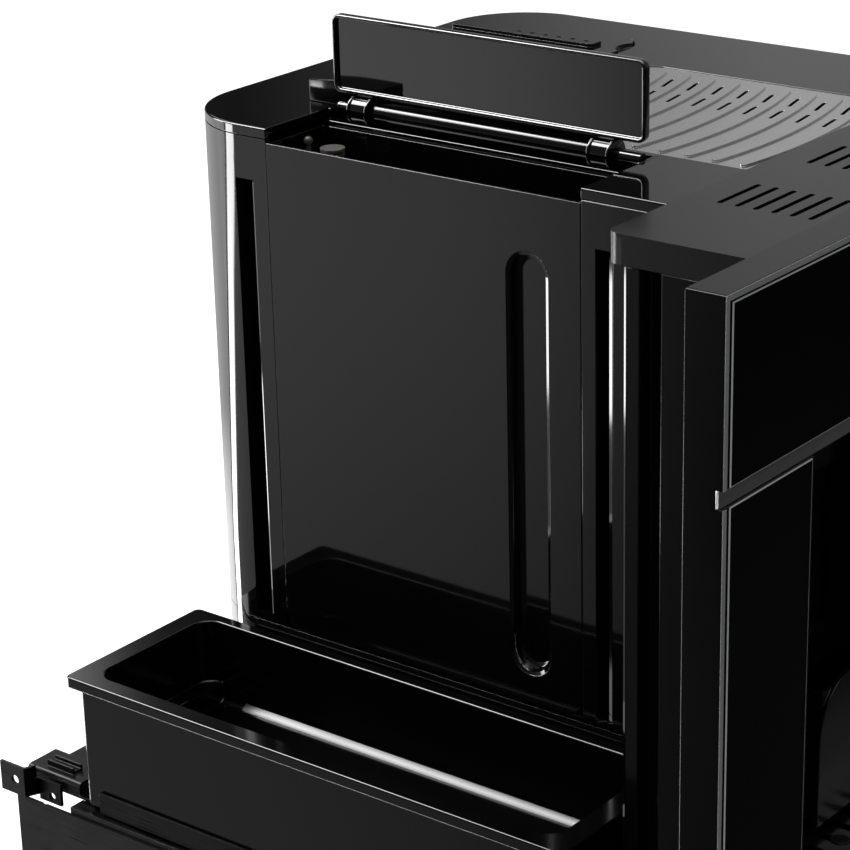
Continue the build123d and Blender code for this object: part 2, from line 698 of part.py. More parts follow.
def fascia_frame():
    """Folded metal frame with pockets for the panes and an opening for the cup recess."""
    half = FASCIA_WIDTH / 2
    frame = block(-half, half, FRONT_Y, FASCIA_BACK, FASCIA_LIFT, FASCIA_TOP)
    frame = rounded(frame, Axis.Y, 1.5)
    side = half - GLASS_SIDE_MARGIN
    frame -= block(-side, side, FRONT_Y - 1, PLATE_FRONT, TRIM_TOP, GLASS_TOP)
    frame -= block(-half - 1, half + 1, FRONT_Y - 1, PLATE_FRONT, RECESS_TOP, TRIM_TOP)
    lower = FASCIA_LIFT + GLASS_BOTTOM_MARGIN
    for way in (-1, 1):
        inner = way * (RECESS_HALF + FASCIA_SHEET)
        outer = way * side
        frame -= block(
            min(inner, outer), max(inner, outer), FRONT_Y - 1, PLATE_FRONT, lower, RECESS_TOP
        )
    hollow = block(
        -half + FASCIA_SHEET, half - FASCIA_SHEET, PLATE_BACK, FASCIA_BACK + 1,
        FASCIA_LIFT + FASCIA_SHEET, FASCIA_TOP - FASCIA_SHEET,
    )
    frame -= hollow
    frame -= block(-RECESS_HALF, RECESS_HALF, FRONT_Y - 1, FASCIA_BACK + 1, lower, RECESS_TOP)
    window_low = (TRIM_TOP + GLASS_TOP - DISPLAY_HEIGHT) / 2
    frame -= block(
        -DISPLAY_WIDTH / 2, DISPLAY_WIDTH / 2, PLATE_FRONT - 1, PLATE_BACK + 1,
        window_low, window_low + DISPLAY_HEIGHT,
    )
    return frame


def pane(x0, x1, z0, z1):
    """A glass pane with ground edges, set in its pocket."""
    glass = block(
        x0 + GLASS_GAP, x1 - GLASS_GAP, FRONT_Y, PLATE_FRONT, z0 + GLASS_GAP, z1 - GLASS_GAP
    )
    return chamfer(glass.faces().sort_by(Axis.Y)[0].edges(), 0.6)


def upper_glass():
    """Full-width pane over the display."""
    side = FASCIA_WIDTH / 2 - GLASS_SIDE_MARGIN
    return pane(-side, side, TRIM_TOP, GLASS_TOP)


def lower_glass():
    """Narrow pane beside the recess."""
    side = FASCIA_WIDTH / 2 - GLASS_SIDE_MARGIN
    low = FASCIA_LIFT + GLASS_BOTTOM_MARGIN
    return pane(-side, -RECESS_HALF - FASCIA_SHEET, low, RECESS_TOP)


def trim_strip():
    """Brushed strip in the groove between the panes."""
    half = FASCIA_WIDTH / 2
    return block(-half, half, PLATE_FRONT - TRIM_THICKNESS, PLATE_FRONT, RECESS_TOP, TRIM_TOP)


def touch_display():
    """Display module whose face fills the frame's window behind the glass."""
    low = (TRIM_TOP + GLASS_TOP - DISPLAY_HEIGHT) / 2
    half = DISPLAY_WIDTH / 2
    face = block(
        -half + GLASS_GAP, half - GLASS_GAP, PLATE_FRONT, PLATE_BACK,
        low + GLASS_GAP, low + DISPLAY_HEIGHT - GLASS_GAP,
    )
    case = block(
        -half - DISPLAY_FRAME, half + DISPLAY_FRAME, PLATE_BACK, PLATE_BACK + DISPLAY_DEPTH,
        low - DISPLAY_FRAME, low + DISPLAY_HEIGHT + DISPLAY_FRAME,
    )
    return face + case


# ---------------------------------------------------------------- box behind the fascia

def deck_cover():
    """Folded sheet with vents that closes the box behind the fascia from above."""
    front = FASCIA_BACK + GLASS_GAP
    lip_back = DECK_BACK - DECK_LAP
    sheet = block(-DECK_HALF, DECK_HALF, front, DECK_BACK, DECK_TOP - DECK_SHEET, DECK_TOP)
    sheet = fillet(sheet.edges().filter_by(Axis.Z).sort_by(Axis.Y)[-2:], DECK_CORNER_R)
    lips = block(-DECK_HALF, DECK_HALF, front, lip_back, DECK_UNDER, DECK_TOP - DECK_SHEET)
    lips = fillet(lips.edges().filter_by(Axis.Z).sort_by(Axis.Y)[-2:], DECK_CORNER_R)
    lips -= block(
        -DECK_HALF + DECK_SHEET, DECK_HALF - DECK_SHEET, front - 1, lip_back - DECK_SHEET,
        DECK_UNDER - 1, DECK_TOP,
    )
    cover = sheet + lips
    for centre in VENT_GROUP_XS:
        for way in (-1, 1):
            for index in range(VENTS_PER_GROUP):
                y = FRONT_Y + VENT_FRONT + index * VENT_PITCH
                x = way * centre
                slot = SlotOverall(VENT_LENGTH, VENT_WIDTH)
                cover -= Pos(x, y, DECK_TOP - DECK_SHEET - 1) * extrude(slot, DECK_SHEET + 2)
    return cover


def side_column():
    """Upright sheet column with a dark groove near its rear edge."""
    outer = -DECK_HALF
    inner = -LINER_HALF
    rear = FRONT_Y + COLUMN_REAR
    groove_rear = rear - COLUMN_STRIP
    groove_front = groove_rear - COLUMN_GROOVE
    column = block(outer, inner, PLATE_BACK, rear, COLUMN_FOOT, DECK_UNDER)
    column -= block(
        outer - 1, outer + COLUMN_GROOVE_DEPTH, groove_front, groove_rear,
        COLUMN_FOOT - 1, DECK_UNDER + 1,
    )
    column -= block(
        outer + COLUMN_SHEET, inner - COLUMN_SHEET, PLATE_BACK + COLUMN_SHEET,
        groove_front - COLUMN_SHEET, COLUMN_FOOT - 1, DECK_UNDER + 1,
    )
    return column


def recess_liner():
    """Box behind the fascia opening: walls of the place where the cups stand."""
    liner = block(-LINER_HALF, LINER_HALF, PLATE_BACK, LINER_BACK, LINER_BOTTOM, RECESS_TOP + LINER_SHEET)
    inner = LINER_HALF - LINER_SHEET
    liner -= block(
        -inner, inner, PLATE_BACK - 1, LINER_BACK - LINER_SHEET, LINER_BOTTOM + LINER_SHEET, RECESS_TOP
    )
    box_top = BOX_LIFT + BOX_HEIGHT + BOX_CLEARANCE
    liner -= block(
        -BOX_OPENING, BOX_OPENING, LINER_BACK - LINER_SHEET - 1, LINER_BACK + 1,
        BOX_LIFT - BOX_CLEARANCE, box_top,
    )
    for x in (-BODY_HALF * 0.68, BODY_HALF * 0.68):
        for z in (BASE_TOP + 60.0, RECESS_TOP - 26.0):
            liner += rod("y", x, z, LINER_BACK, BODY_FRONT, 6.0)
    return liner


def outlet_guide():
    """Upright T rail on the recess wall that the coffee outlet slides on."""
    neck = block(
        -GUIDE_NECK_WIDTH / 2, GUIDE_NECK_WIDTH / 2, OUTLET_BACK - GUIDE_NECK_DEPTH, OUTLET_BACK,
        GUIDE_BOTTOM, GUIDE_TOP,
    )
    head = block(
        -GUIDE_HEAD_WIDTH / 2, GUIDE_HEAD_WIDTH / 2, GUIDE_FACE, GUIDE_FACE + GUIDE_HEAD_DEPTH,
        GUIDE_BOTTOM, GUIDE_TOP,
    )
    return neck + head


def coffee_outlet():
    """Outlet block with the groove that runs on the guide; both spout channels open below."""
    rear = OUTLET_BACK - 3.0
    front = rear - OUTLET_DEPTH
    top = OUTLET_BOTTOM + OUTLET_HEIGHT
    outlet = block(-OUTLET_WIDTH / 2, OUTLET_WIDTH / 2, front, rear, OUTLET_BOTTOM, top)
    outlet = fillet(outlet.edges().filter_by(Axis.Z).sort_by(Axis.Y)[:2], 12.0)
    gap = GUIDE_CLEARANCE
    outlet -= block(
        -GUIDE_HEAD_WIDTH / 2 - gap, GUIDE_HEAD_WIDTH / 2 + gap, GUIDE_FACE - gap,
        GUIDE_FACE + GUIDE_HEAD_DEPTH + gap, OUTLET_BOTTOM - 1, top + 1,
    )
    outlet -= block(
        -GUIDE_NECK_WIDTH / 2 - gap, GUIDE_NECK_WIDTH / 2 + gap, GUIDE_FACE, rear + 1,
        OUTLET_BOTTOM - 1, top + 1,
    )
    for way in (-1, 1):
        spout_y = front + OUTLET_DEPTH / 3
        outlet -= rod(
            "z", way * SPOUT_SPACING / 2, spout_y, OUTLET_BOTTOM - 1, OUTLET_BOTTOM + 40.0,
            SPOUT_BORE_R,
        )
    return outlet


def outlet_spouts():
    """The two spout nozzles under the outlet."""
    spout_y = OUTLET_BACK - 3.0 - OUTLET_DEPTH + OUTLET_DEPTH / 3
    spouts = []
    for way in (-1, 1):
        x = way * SPOUT_SPACING / 2
        nozzle = rod("z", x, spout_y, OUTLET_BOTTOM - SPOUT_LENGTH, OUTLET_BOTTOM, SPOUT_R)
        nozzle -= rod("z", x, spout_y, OUTLET_BOTTOM - SPOUT_LENGTH - 1, OUTLET_BOTTOM + 1, SPOUT_BORE_R)
        spouts.append(nozzle)
    return solids_of(spouts)


def recess_lamps():
    """Lamp lenses under the recess ceiling."""
    lamps = []
    for way in (-1, 1):
        y = FRONT_Y + COLUMN_REAR / 2
        lamps.append(rod("z", way * LAMP_X, y, RECESS_TOP - LAMP_HEIGHT, RECESS_TOP, LAMP_R))
    return solids_of(lamps)


DRIP_HALF = LINER_HALF - LINER_SHEET - DRIP_SIDE_GAP
DRIP_Y = FRONT_Y + DRIP_FRONT
DRIP_BACK = OUTLET_BACK - DRIP_REAR_GAP
DRIP_BOTTOM = LINER_BOTTOM + LINER_SHEET + DRIP_LIFT
DRIP_TOP = DRIP_BOTTOM + DRIP_HEIGHT
FLOAT_PLACE_Y = FRONT_Y + FLOAT_Y


def drip_tray():
    """Open tray under the cups, with a ledge for its grid and a pin for its float."""
    tray = block(-DRIP_HALF, DRIP_HALF, DRIP_Y, DRIP_BACK, DRIP_BOTTOM, DRIP_TOP)
    tray = rounded(tray, Axis.Z, 3.0)
    inner = DRIP_HALF - DRIP_WALL
    tray -= block(
        -inner, inner, DRIP_Y + DRIP_WALL, DRIP_BACK - DRIP_WALL, DRIP_BOTTOM + DRIP_WALL, DRIP_TOP + 1
    )
    pin_top = DRIP_BOTTOM + DRIP_WALL + 14.0
    return tray + rod("z", FLOAT_X, FLOAT_PLACE_Y, DRIP_BOTTOM + DRIP_WALL, pin_top, 1.5)


def drip_grid():
    """Slotted stainless grid that lies on the drip tray's rim."""
    half = DRIP_HALF - GRID_MARGIN / 4
    front = DRIP_Y + GRID_MARGIN / 4
    rear = DRIP_BACK - GRID_MARGIN / 4
    grid = block(-half, half, front, rear, DRIP_TOP, DRIP_TOP + GRID_SHEET)
    grid = rounded(grid, Axis.Z, 2.5)
    pitch = 2 * (half - 2 * GRID_MARGIN) / GRID_SLOTS
    row_gap = (rear - front) / 4
    for row in (-1, 1):
        for index in range(GRID_SLOTS):
            x = (index - (GRID_SLOTS - 1) / 2) * pitch
            y = (front + rear) / 2 + row * row_gap
            slot = SlotOverall(GRID_SLOT_LENGTH, GRID_SLOT_WIDTH, rotation=90)
            grid -= Pos(x, y, DRIP_TOP - 1) * extrude(slot, GRID_SHEET + 2)
    hole = FLOAT_R + FLOAT_CLEARANCE
    return grid - rod("z", FLOAT_X, FLOAT_PLACE_Y, DRIP_TOP - 1, DRIP_TOP + GRID_SHEET + 1, hole)


def drip_float():
    """Float that rises through the grid when the tray is full."""
    low = DRIP_BOTTOM + DRIP_WALL + SEAT
    high = DRIP_TOP + GRID_SHEET + 0.7
    body = rod("z", FLOAT_X, FLOAT_PLACE_Y, low, high, FLOAT_R)
    return body - rod("z", FLOAT_X, FLOAT_PLACE_Y, low - 1, low + 26.0, 2.0)


def grounds_box():
    """Box for spent coffee, open above, with an arched front plate."""
    half = BOX_WIDTH / 2
    back = BOX_Y + BOX_PLATE + BOX_LENGTH
    top = BOX_LIFT + BOX_HEIGHT
    box = block(-half, half, BOX_Y + BOX_PLATE, back, BOX_LIFT, top)
    box -= block(
        -half + BOX_WALL, half - BOX_WALL, BOX_Y + BOX_PLATE + BOX_WALL, back - BOX_WALL,
        BOX_LIFT + BOX_WALL, top + 1,
    )
    plate = block(
        -half - BOX_PLATE_MARGIN, half + BOX_PLATE_MARGIN, BOX_Y, BOX_Y + BOX_PLATE,
        BOX_LIFT, top + BOX_PLATE_MARGIN,
    )
    crown = plate.edges().filter_by(Axis.Y).group_by(Axis.Z)[-1]
    return box + fillet(crown, BOX_ARCH_R)


# ---------------------------------------------------------------- machine body

def body_outline(inset, low, high):
    """The body's plan with its rounded rear corners, pulled up from low to high."""
    half = BODY_HALF - inset
    solid = block(-half, half, BODY_FRONT + inset, BODY_REAR - inset, low, high)
    rear_edges = solid.edges().filter_by(Axis.Z).sort_by(Axis.Y)[-2:]
    return fillet(rear_edges, BODY_CORNER_R - inset)


SCREW_X = BODY_HALF - BODY_CORNER_R - SCREW_HEAD_R
SCREW_XS = (-SCREW_X, SCREW_X)
BASE_SCREW_Z = BASE_TOP - BASE_SCREW_DROP
SHELL_SCREW_ZS = (SHELL_BOTTOM + LOWER_SCREW_RISE, SHELL_TOP - UPPER_SCREW_DROP)


def base_housing():
    """Lower housing of the body, open above, with a shelf for the grounds box."""
    base = body_outline(0, TRAY_TOP, BASE_TOP) - body_outline(SHELL_WALL, TRAY_TOP + SHELL_WALL, BASE_TOP + 1)
    base -= block(
        -BOX_OPENING, BOX_OPENING, BODY_FRONT - 1, BODY_FRONT + SHELL_WALL + 1,
        BOX_LIFT - BOX_CLEARANCE, BASE_TOP + 1,
    )
    shelf_rear = BOX_Y + BOX_PLATE + BOX_LENGTH
    shelf_top = BOX_LIFT - SEAT
    for way in (-1, 1):
        near = way * (BOX_WIDTH / 2 - 12.0)
        far = way * (BOX_WIDTH / 2)
        base += block(
            min(near, far), max(near, far), BODY_FRONT + SHELL_WALL, shelf_rear,
            TRAY_TOP + SHELL_WALL, shelf_top,
        )
    base -= block(
        INLET_X - INLET_WIDTH / 2, INLET_X + INLET_WIDTH / 2, BODY_REAR - SHELL_WALL - 1, BODY_REAR + 1,
        INLET_Z - INLET_HEIGHT / 2, INLET_Z + INLET_HEIGHT / 2,
    )
    for x in SCREW_XS:
        base -= rod("y", x, BASE_SCREW_Z, BODY_REAR - SHELL_WALL - 1, BODY_REAR + 1, SCREW_R + SCREW_CLEARANCE)
    return base


def slot_pocket(y, width):
    """Thickened wall round a tall blind slot in the body's left side, and the slot itself."""
    side = -BODY_HALF
    pad = block(
        side, side + SIDE_SLOT_DEPTH + SIDE_SLOT_WALL / 2, y - SIDE_SLOT_WALL, y + width + SIDE_SLOT_WALL,
        SIDE_SLOT_BOTTOM - SIDE_SLOT_WALL / 2, SIDE_SLOT_TOP + SIDE_SLOT_WALL,
    )
    slot = block(side - 1, side + SIDE_SLOT_DEPTH, y, y + width, SIDE_SLOT_BOTTOM, SIDE_SLOT_TOP)
    return pad & body_outline(0, SHELL_BOTTOM, SHELL_TOP), slot


def rear_shell():
    """Upper rear shell with rounded corners; its arms hold a tall slot on each side."""
    shell = body_outline(0, SHELL_BOTTOM, SHELL_TOP) - body_outline(
        SHELL_WALL, SHELL_BOTTOM - 1, SHELL_TOP + 1
    )
    edge = TANK_REAR + SEAM
    shell -= block(-BODY_HALF - 1, BODY_HALF + 1, BODY_FRONT - 1, edge, SHELL_BOTTOM - 1, SHELL_TOP + 1)
    pad, slot = slot_pocket(REAR_SLOT_Y, REAR_SLOT_WIDTH)
    shell = shell + pad - slot
    shell = shell + mirror(pad, Plane.YZ) - mirror(slot, Plane.YZ)
    for index in range(REAR_VENT_COUNT):
        z = REAR_VENT_BOTTOM + index * REAR_VENT_PITCH
        vent = Plane.XZ * SlotOverall(REAR_VENT_LENGTH, VENT_WIDTH)
        shell -= Pos(BODY_HALF * 0.45, BODY_REAR + 1, z) * extrude(vent, SHELL_WALL + 2)
    for x in SCREW_XS:
        for z in SHELL_SCREW_ZS:
            shell -= rod("y", x, z, BODY_REAR - SHELL_WALL - 1, BODY_REAR + 1, SCREW_R + SCREW_CLEARANCE)
    return shell


def front_pillar():
    """Left front corner of the body, between the tank and the fascia box, with its tall slot."""
    wide = block(
        -BODY_HALF, -BODY_HALF * 0.86, BODY_FRONT, TANK_FRONT - SEAM, SHELL_BOTTOM, SHELL_TOP
    )
    wide -= block(
        -BODY_HALF + SHELL_WALL, 0, BODY_FRONT + SHELL_WALL, TANK_FRONT, SHELL_BOTTOM - 1, SHELL_TOP + 1
    )
    pad, slot = slot_pocket(FRONT_SLOT_Y, SIDE_SLOT_WIDTH)
    bay_front = TANK_FRONT - BAY_WALL - BAY_CLEARANCE - SEAM
    pad -= block(-BODY_HALF - 1, 0, bay_front, TANK_FRONT + SIDE_SLOT_WALL, 0, BODY_TOP)
    return wide + pad - slot


def front_wall():
    """Bulkhead between the front pillars, open where the grounds box passes."""
    half = BODY_HALF * 0.86 - SEAM
    wall = block(-half, half, BODY_FRONT, BODY_FRONT + SHELL_WALL, SHELL_BOTTOM, SHELL_TOP)
    return wall - block(
        -BOX_OPENING, BOX_OPENING, BODY_FRONT - 1, BODY_FRONT + SHELL_WALL + 1,
        SHELL_BOTTOM - 1, BOX_LIFT + BOX_HEIGHT + BOX_CLEARANCE,
    )


def service_panel():
    """Plain cover in the right side, where the left side has the tank."""
    return block(
        BODY_HALF - SHELL_WALL, BODY_HALF, TANK_FRONT, TANK_REAR, SHELL_BOTTOM, SHELL_TOP
    )


def tank_bay():
    """Liner of the tank's place, with the socket that the tank's spigot plugs into."""
    left = -BODY_HALF + SHELL_WALL + 0.2
    front = TANK_FRONT - BAY_CLEARANCE
    rear = TANK_REAR + BAY_CLEARANCE
    bay = block(left, BAY_X + BAY_WALL, front - BAY_WALL, rear + BAY_WALL, BASE_TOP, BASE_TOP + 2.0)
    wall_top = BEAM_FLOOR - BEAM_WALL
    bay += block(BAY_X, BAY_X + BAY_WALL, front - BAY_WALL, rear + BAY_WALL, BASE_TOP, wall_top)
    bay += block(left, BAY_X + BAY_WALL, front - BAY_WALL, front, BASE_TOP, wall_top)
    bay += block(left, BAY_X + BAY_WALL, rear, rear + BAY_WALL, BASE_TOP, wall_top)
    socket_r = SPIGOT_R + SOCKET_CLEARANCE + SOCKET_WALL
    socket_end = BAY_X + BAY_WALL + SPIGOT_LENGTH
    bay += rod("x", SPIGOT_Y, SPIGOT_Z, BAY_X, socket_end + 2.0, socket_r)
    bay -= rod("x", SPIGOT_Y, SPIGOT_Z, BAY_X - 1, socket_end, SPIGOT_R + SOCKET_CLEARANCE)
    nipple = rod("x", SPIGOT_Y, SPIGOT_Z, socket_end, socket_end + 12.0, HOSE_R + 1.2)
    return bay + nipple


def top_shell():
    """Top of the body, with the tank opening, the cup tray's seat and the bean opening."""
    top = body_outline(0, SKIRT_BOTTOM, BODY_TOP)
    top = fillet(top.faces().sort_by(Axis.Z)[-1].edges().sort_by(Axis.Y)[1:], 1.2)
    top -= body_outline(SHELL_WALL, SKIRT_BOTTOM - 1, PLATE_UNDER)
    top -= block(-BODY_HALF - 1, BEAM_RIGHT, TANK_FRONT, TANK_REAR, 0, BODY_TOP + 1)
    top -= block(BEAM_LEFT, BEAM_RIGHT, BEAM_FRONT, BEAM_REAR, 0, BODY_TOP + 1)
    tray = tray_outline(-LID_GAP, BODY_TOP - CUP_TRAY_DROP - CUP_TRAY_SHEET, BODY_TOP + 1)
    top -= tray
    top -= tray_outline(CUP_TRAY_LEDGE, SKIRT_BOTTOM, BODY_TOP + 1)
    top -= hopper_outline(-LID_GAP, SKIRT_BOTTOM - 1, BODY_TOP + 1)
    return top


# ---------------------------------------------------------------- tank

def water_tank():
    """Side-loading water tank, open above, with a finger grip and an outlet spigot."""
    tank = block(-BODY_HALF, TANK_INNER, TANK_FRONT, TANK_REAR, TANK_BOTTOM, TANK_TOP)
    low_edges = tank.edges().filter_by(Axis.X).group_by(Axis.Z)[0]
    tank = fillet(low_edges, TANK_CORNER_R)
    hollow = block(
        -BODY_HALF + TANK_WALL, TANK_INNER - TANK_WALL, TANK_FRONT + TANK_WALL, TANK_REAR - TANK_WALL,
        TANK_BOTTOM + TANK_WALL, TANK_TOP + 20,
    )
    hollow = fillet(hollow.edges().filter_by(Axis.X).group_by(Axis.Z)[0], TANK_CORNER_R - TANK_WALL)
    grip_y = TANK_FRONT + GRIP_SETBACK + GRIP_WIDTH / 2
    low = TANK_BOTTOM + GRIP_BOTTOM
    high = TANK_TOP - GRIP_TOP
    grip = grip_shape(grip_y, low, high, GRIP_WIDTH / 2, GRIP_DEPTH)
    shield = grip_shape(grip_y, low, high, GRIP_WIDTH / 2 + TANK_WALL, GRIP_DEPTH + TANK_WALL)
    spigot_end = TANK_INNER + SPIGOT_LENGTH
    tank += rod("x", SPIGOT_Y, SPIGOT_Z, TANK_INNER - 1, spigot_end, SPIGOT_R)
    bore = rod("x", SPIGOT_Y, SPIGOT_Z, TANK_INNER - TANK_WALL - 1, spigot_end + 1, SPIGOT_BORE_R)
    return tank - (hollow - shield) - grip - bore


def level_sensor():
    """Level sensor in the tank: a stem with a ribbed cap, held to the tank's rear wall."""
    y = TANK_REAR - SENSOR_SETBACK
    top = TANK_TOP - SENSOR_DROP
    wall = TANK_REAR - TANK_WALL
    sensor = rod("z", SENSOR_X, y, TANK_BOTTOM + TANK_WALL, top, SENSOR_STEM_R)
    for index in range(4):
        rib_z = top - 3.0 * index
        sensor += rod("z", SENSOR_X, y, rib_z - 1.6, rib_z, SENSOR_R)
    sensor += block(SENSOR_X - 2.0, SENSOR_X + 2.0, y, wall, top - 8.0, top - 5.0)
    ball_y = wall - 2 * SENSOR_BALL_R
    sensor += rod("z", SENSOR_X, ball_y, top - 6.0, top, SENSOR_STEM_R / 2)
    return sensor + Pos(SENSOR_X, ball_y, top + SENSOR_BALL_R / 2) * Sphere(SENSOR_BALL_R)


def grip_shape(centre_y, low, high, radius, depth):
    """A tall groove with round ends, sunk into the tank's outer face."""
    side = -BODY_HALF
    middle = block(
        side - 1, side + depth, centre_y - radius, centre_y + radius, low + radius, high - radius
    )
    lower = rod("x", centre_y, low + radius, side - 1, side + depth, radius)
    upper = rod("x", centre_y, high - radius, side - 1, side + depth, radius)
    return fused(middle, lower, upper)


# ---------------------------------------------------------------- flap and hinge

def hinge_beam():
    """Trough along the tank opening that carries the hinge clamps."""
    front = BEAM_FRONT
    rear = BEAM_REAR
    beam = block(BEAM_LEFT, BEAM_RIGHT, front, rear, BEAM_FLOOR - BEAM_WALL, BODY_TOP)
    beam -= block(
        BEAM_LEFT + BEAM_WALL, BEAM_RIGHT - BEAM_WALL, front + BEAM_WALL, rear - BEAM_WALL,
        BEAM_FLOOR, BODY_TOP + 1,
    )
    return beam - block(
        BEAM_LEFT - 1, HINGE_X - FLAP_RISE + 1.5, front - 1, rear + 1,
        BODY_TOP - BEAM_LEFT_TOP_DROP, BODY_TOP + 1,
    )


def hinge_clamps():
    """Two collared rings that hold the hinge rod down on the beam."""
    clamps = []
    for y in CLAMP_YS:
        low = y - CLAMP_WIDTH / 2
        high = y + CLAMP_WIDTH / 2
        ring = rod("y", HINGE_X, HINGE_Z, low, high, CLAMP_R - 0.6)
        ring += rod("y", HINGE_X, HINGE_Z, low, low + CLAMP_COLLAR, CLAMP_R)
        ring += rod("y", HINGE_X, HINGE_Z, high - CLAMP_COLLAR, high, CLAMP_R)
        foot = block(HINGE_X - 5.0, HINGE_X + 5.0, low, high, BEAM_FLOOR, HINGE_Z - CLAMP_R / 2)
        ring += foot
        ring -= rod("y", HINGE_X, HINGE_Z, low - 1, high + 1, ROD_R + ROD_CLEARANCE)
        clamps.append(ring)
    return solids_of(clamps)


def hinge_rod():
    """Rod that the flap swings on."""
    inset = BEAM_WALL + CLAMP_END_GAP
    return rod("y", HINGE_X, HINGE_Z, BEAM_FRONT + inset, BEAM_REAR - inset, ROD_R)


def flap_panel():
    """Flap over the tank opening, standing open, with a raised rim and a tab behind its rear end."""
    inner = HINGE_X + FLAP_OFFSET
    low = HINGE_Z + FLAP_RISE
    high = low + FLAP_HEIGHT
    front = TANK_FRONT + FLAP_END_GAP
    rear = TANK_REAR - FLAP_END_GAP
    plate = block(inner - FLAP_RIM, inner + FLAP_THICKNESS, front, rear, low, high)
    plate = rounded(plate, Axis.X, FLAP_CORNER_R)
    plate -= block(
        inner - FLAP_RIM - 1, inner, front + FLAP_RIM, rear - FLAP_RIM, low + FLAP_RIM, high - FLAP_RIM
    )
    barrel_front = CLAMP_YS[0] + CLAMP_WIDTH / 2 + 1.0
    barrel_rear = CLAMP_YS[1] - CLAMP_WIDTH / 2 - 1.0
    web = block(HINGE_X, inner + FLAP_THICKNESS, barrel_front, barrel_rear, HINGE_Z, low + FLAP_RIM)
    barrel = rod("y", HINGE_X, HINGE_Z, barrel_front, barrel_rear, BARREL_R)
    outer = inner + FLAP_THICKNESS
    tab_front = CLAMP_YS[1] + CLAMP_WIDTH / 2 + CLAMP_END_GAP
    tab_rear = rear + TAB_REACH
    tab_low = BODY_TOP + SEAT
    tab_high = tab_low + TAB_HEIGHT
    outline = Polyline(
        (tab_front, tab_low), (tab_rear, tab_low), (tab_rear, tab_high - TAB_SLOPE), (tab_front, tab_high),
        close=True,
    )
    tab = Pos(outer, 0, 0) * extrude(Plane.YZ * make_face(outline), -TAB_THICKNESS)
    tab = fillet(tab.edges().filter_by(Axis.X).sort_by(Axis.Y)[-2:], TAB_CORNER_R)
    bore = rod("y", HINGE_X, HINGE_Z, barrel_front - 1, tab_rear + 1, ROD_R)
    return plate + web + barrel + tab - bore


# ---------------------------------------------------------------- cup tray

def tray_outline(inset, low, high):
    """The cup tray's plan, smaller by inset, pulled up from low to high."""
    left = CUP_TRAY_LEFT + inset
    right = CUP_TRAY_LEFT + CUP_TRAY_WIDTH - inset
    front = BODY_FRONT + SHELL_WALL + LID_GAP + inset
    rear = front - inset + CUP_TRAY_LENGTH - inset
    return rounded(block(left, right, front, rear, low, high), Axis.Z, CUP_TRAY_CORNER_R - inset)


def tray_rib(index):
    """One raised rib: part of a large circle, rounded at its ends."""
    low_y = RIB_FIRST_Y + index * RIB_PITCH
    left = CUP_TRAY_LEFT + 7.0
    right = CUP_TRAY_LEFT + CUP_TRAY_WIDTH - 11.0
    ends = []
    for x in (left, right):
        drop = RIB_RADIUS - (RIB_RADIUS**2 - (x - RIB_LOW_X) ** 2) ** 0.5
        ends.append((x, low_y + drop))
    arc = ThreePointArc(ends[0], (RIB_LOW_X, low_y), ends[1])
    return SlotArc(arc, RIB_WIDTH)


def rib_height_at(x, index):
    """Where a rib's middle line passes at a given x."""
    return RIB_FIRST_Y + index * RIB_PITCH + RIB_RADIUS - (RIB_RADIUS**2 - (x - RIB_LOW_X) ** 2) ** 0.5


def cup_tray():
    """Ribbed stainless plate with drain slots beside the ribs."""
    under = BODY_TOP - CUP_TRAY_DROP - CUP_TRAY_SHEET
    surface = BODY_TOP - CUP_TRAY_DROP
    plate = tray_outline(0, under, surface)
    limit = tray_outline(2.5, under, surface + 2 * RIB_HEIGHT)
    for index in range(RIB_COUNT):
        rib = Pos(0, 0, under + CUP_TRAY_SHEET / 2) * extrude(
            tray_rib(index), CUP_TRAY_SHEET / 2 + RIB_HEIGHT
        )
        plate += rib & limit
        for x in TRAY_SLOT_XS:
            slope = (x - RIB_LOW_X) / RIB_RADIUS * 180 / 3.14159
            y = rib_height_at(x, index) + TRAY_SLOT_OFFSET
            cut = SlotOverall(TRAY_SLOT_LENGTH, TRAY_SLOT_WIDTH, rotation=slope)
            inside = y < tray_rear() - 12.0
            if inside:
                plate -= Pos(x, y, under - 1) * extrude(cut, CUP_TRAY_SHEET + 2)
    return plate


def tray_rear():
    """Rear edge of the cup tray."""
    return BODY_FRONT + SHELL_WALL + LID_GAP + CUP_TRAY_LENGTH


# ---------------------------------------------------------------- beans, grinder

def hopper_outline(inset, low, high):
    """The bean hopper's plan, smaller by inset, pulled up from low to high."""
    half = HOPPER_WIDTH / 2 - inset
    front = HOPPER_FRONT + inset
    rear = HOPPER_FRONT + HOPPER_LENGTH - inset
    solid = block(HOPPER_X - half, HOPPER_X + half, front, rear, low, high)
    return rounded(solid, Axis.Z, HOPPER_CORNER_R - inset)


def hopper_cone(inset, low, high):
    """A taper from the hopper's plan down to the round throat."""
    half = HOPPER_WIDTH / 2 - inset
    length = HOPPER_LENGTH - 2 * inset
    middle_y = HOPPER_FRONT + HOPPER_LENGTH / 2
    upper = Pos(HOPPER_X, middle_y, high) * RectangleRounded(2 * half, length, HOPPER_CORNER_R - inset)
    lower = Pos(HOPPER_X, GRINDER_Y, low) * Circle(THROAT_R + HOPPER_WALL - inset)
    return loft([lower.face(), upper.face()])


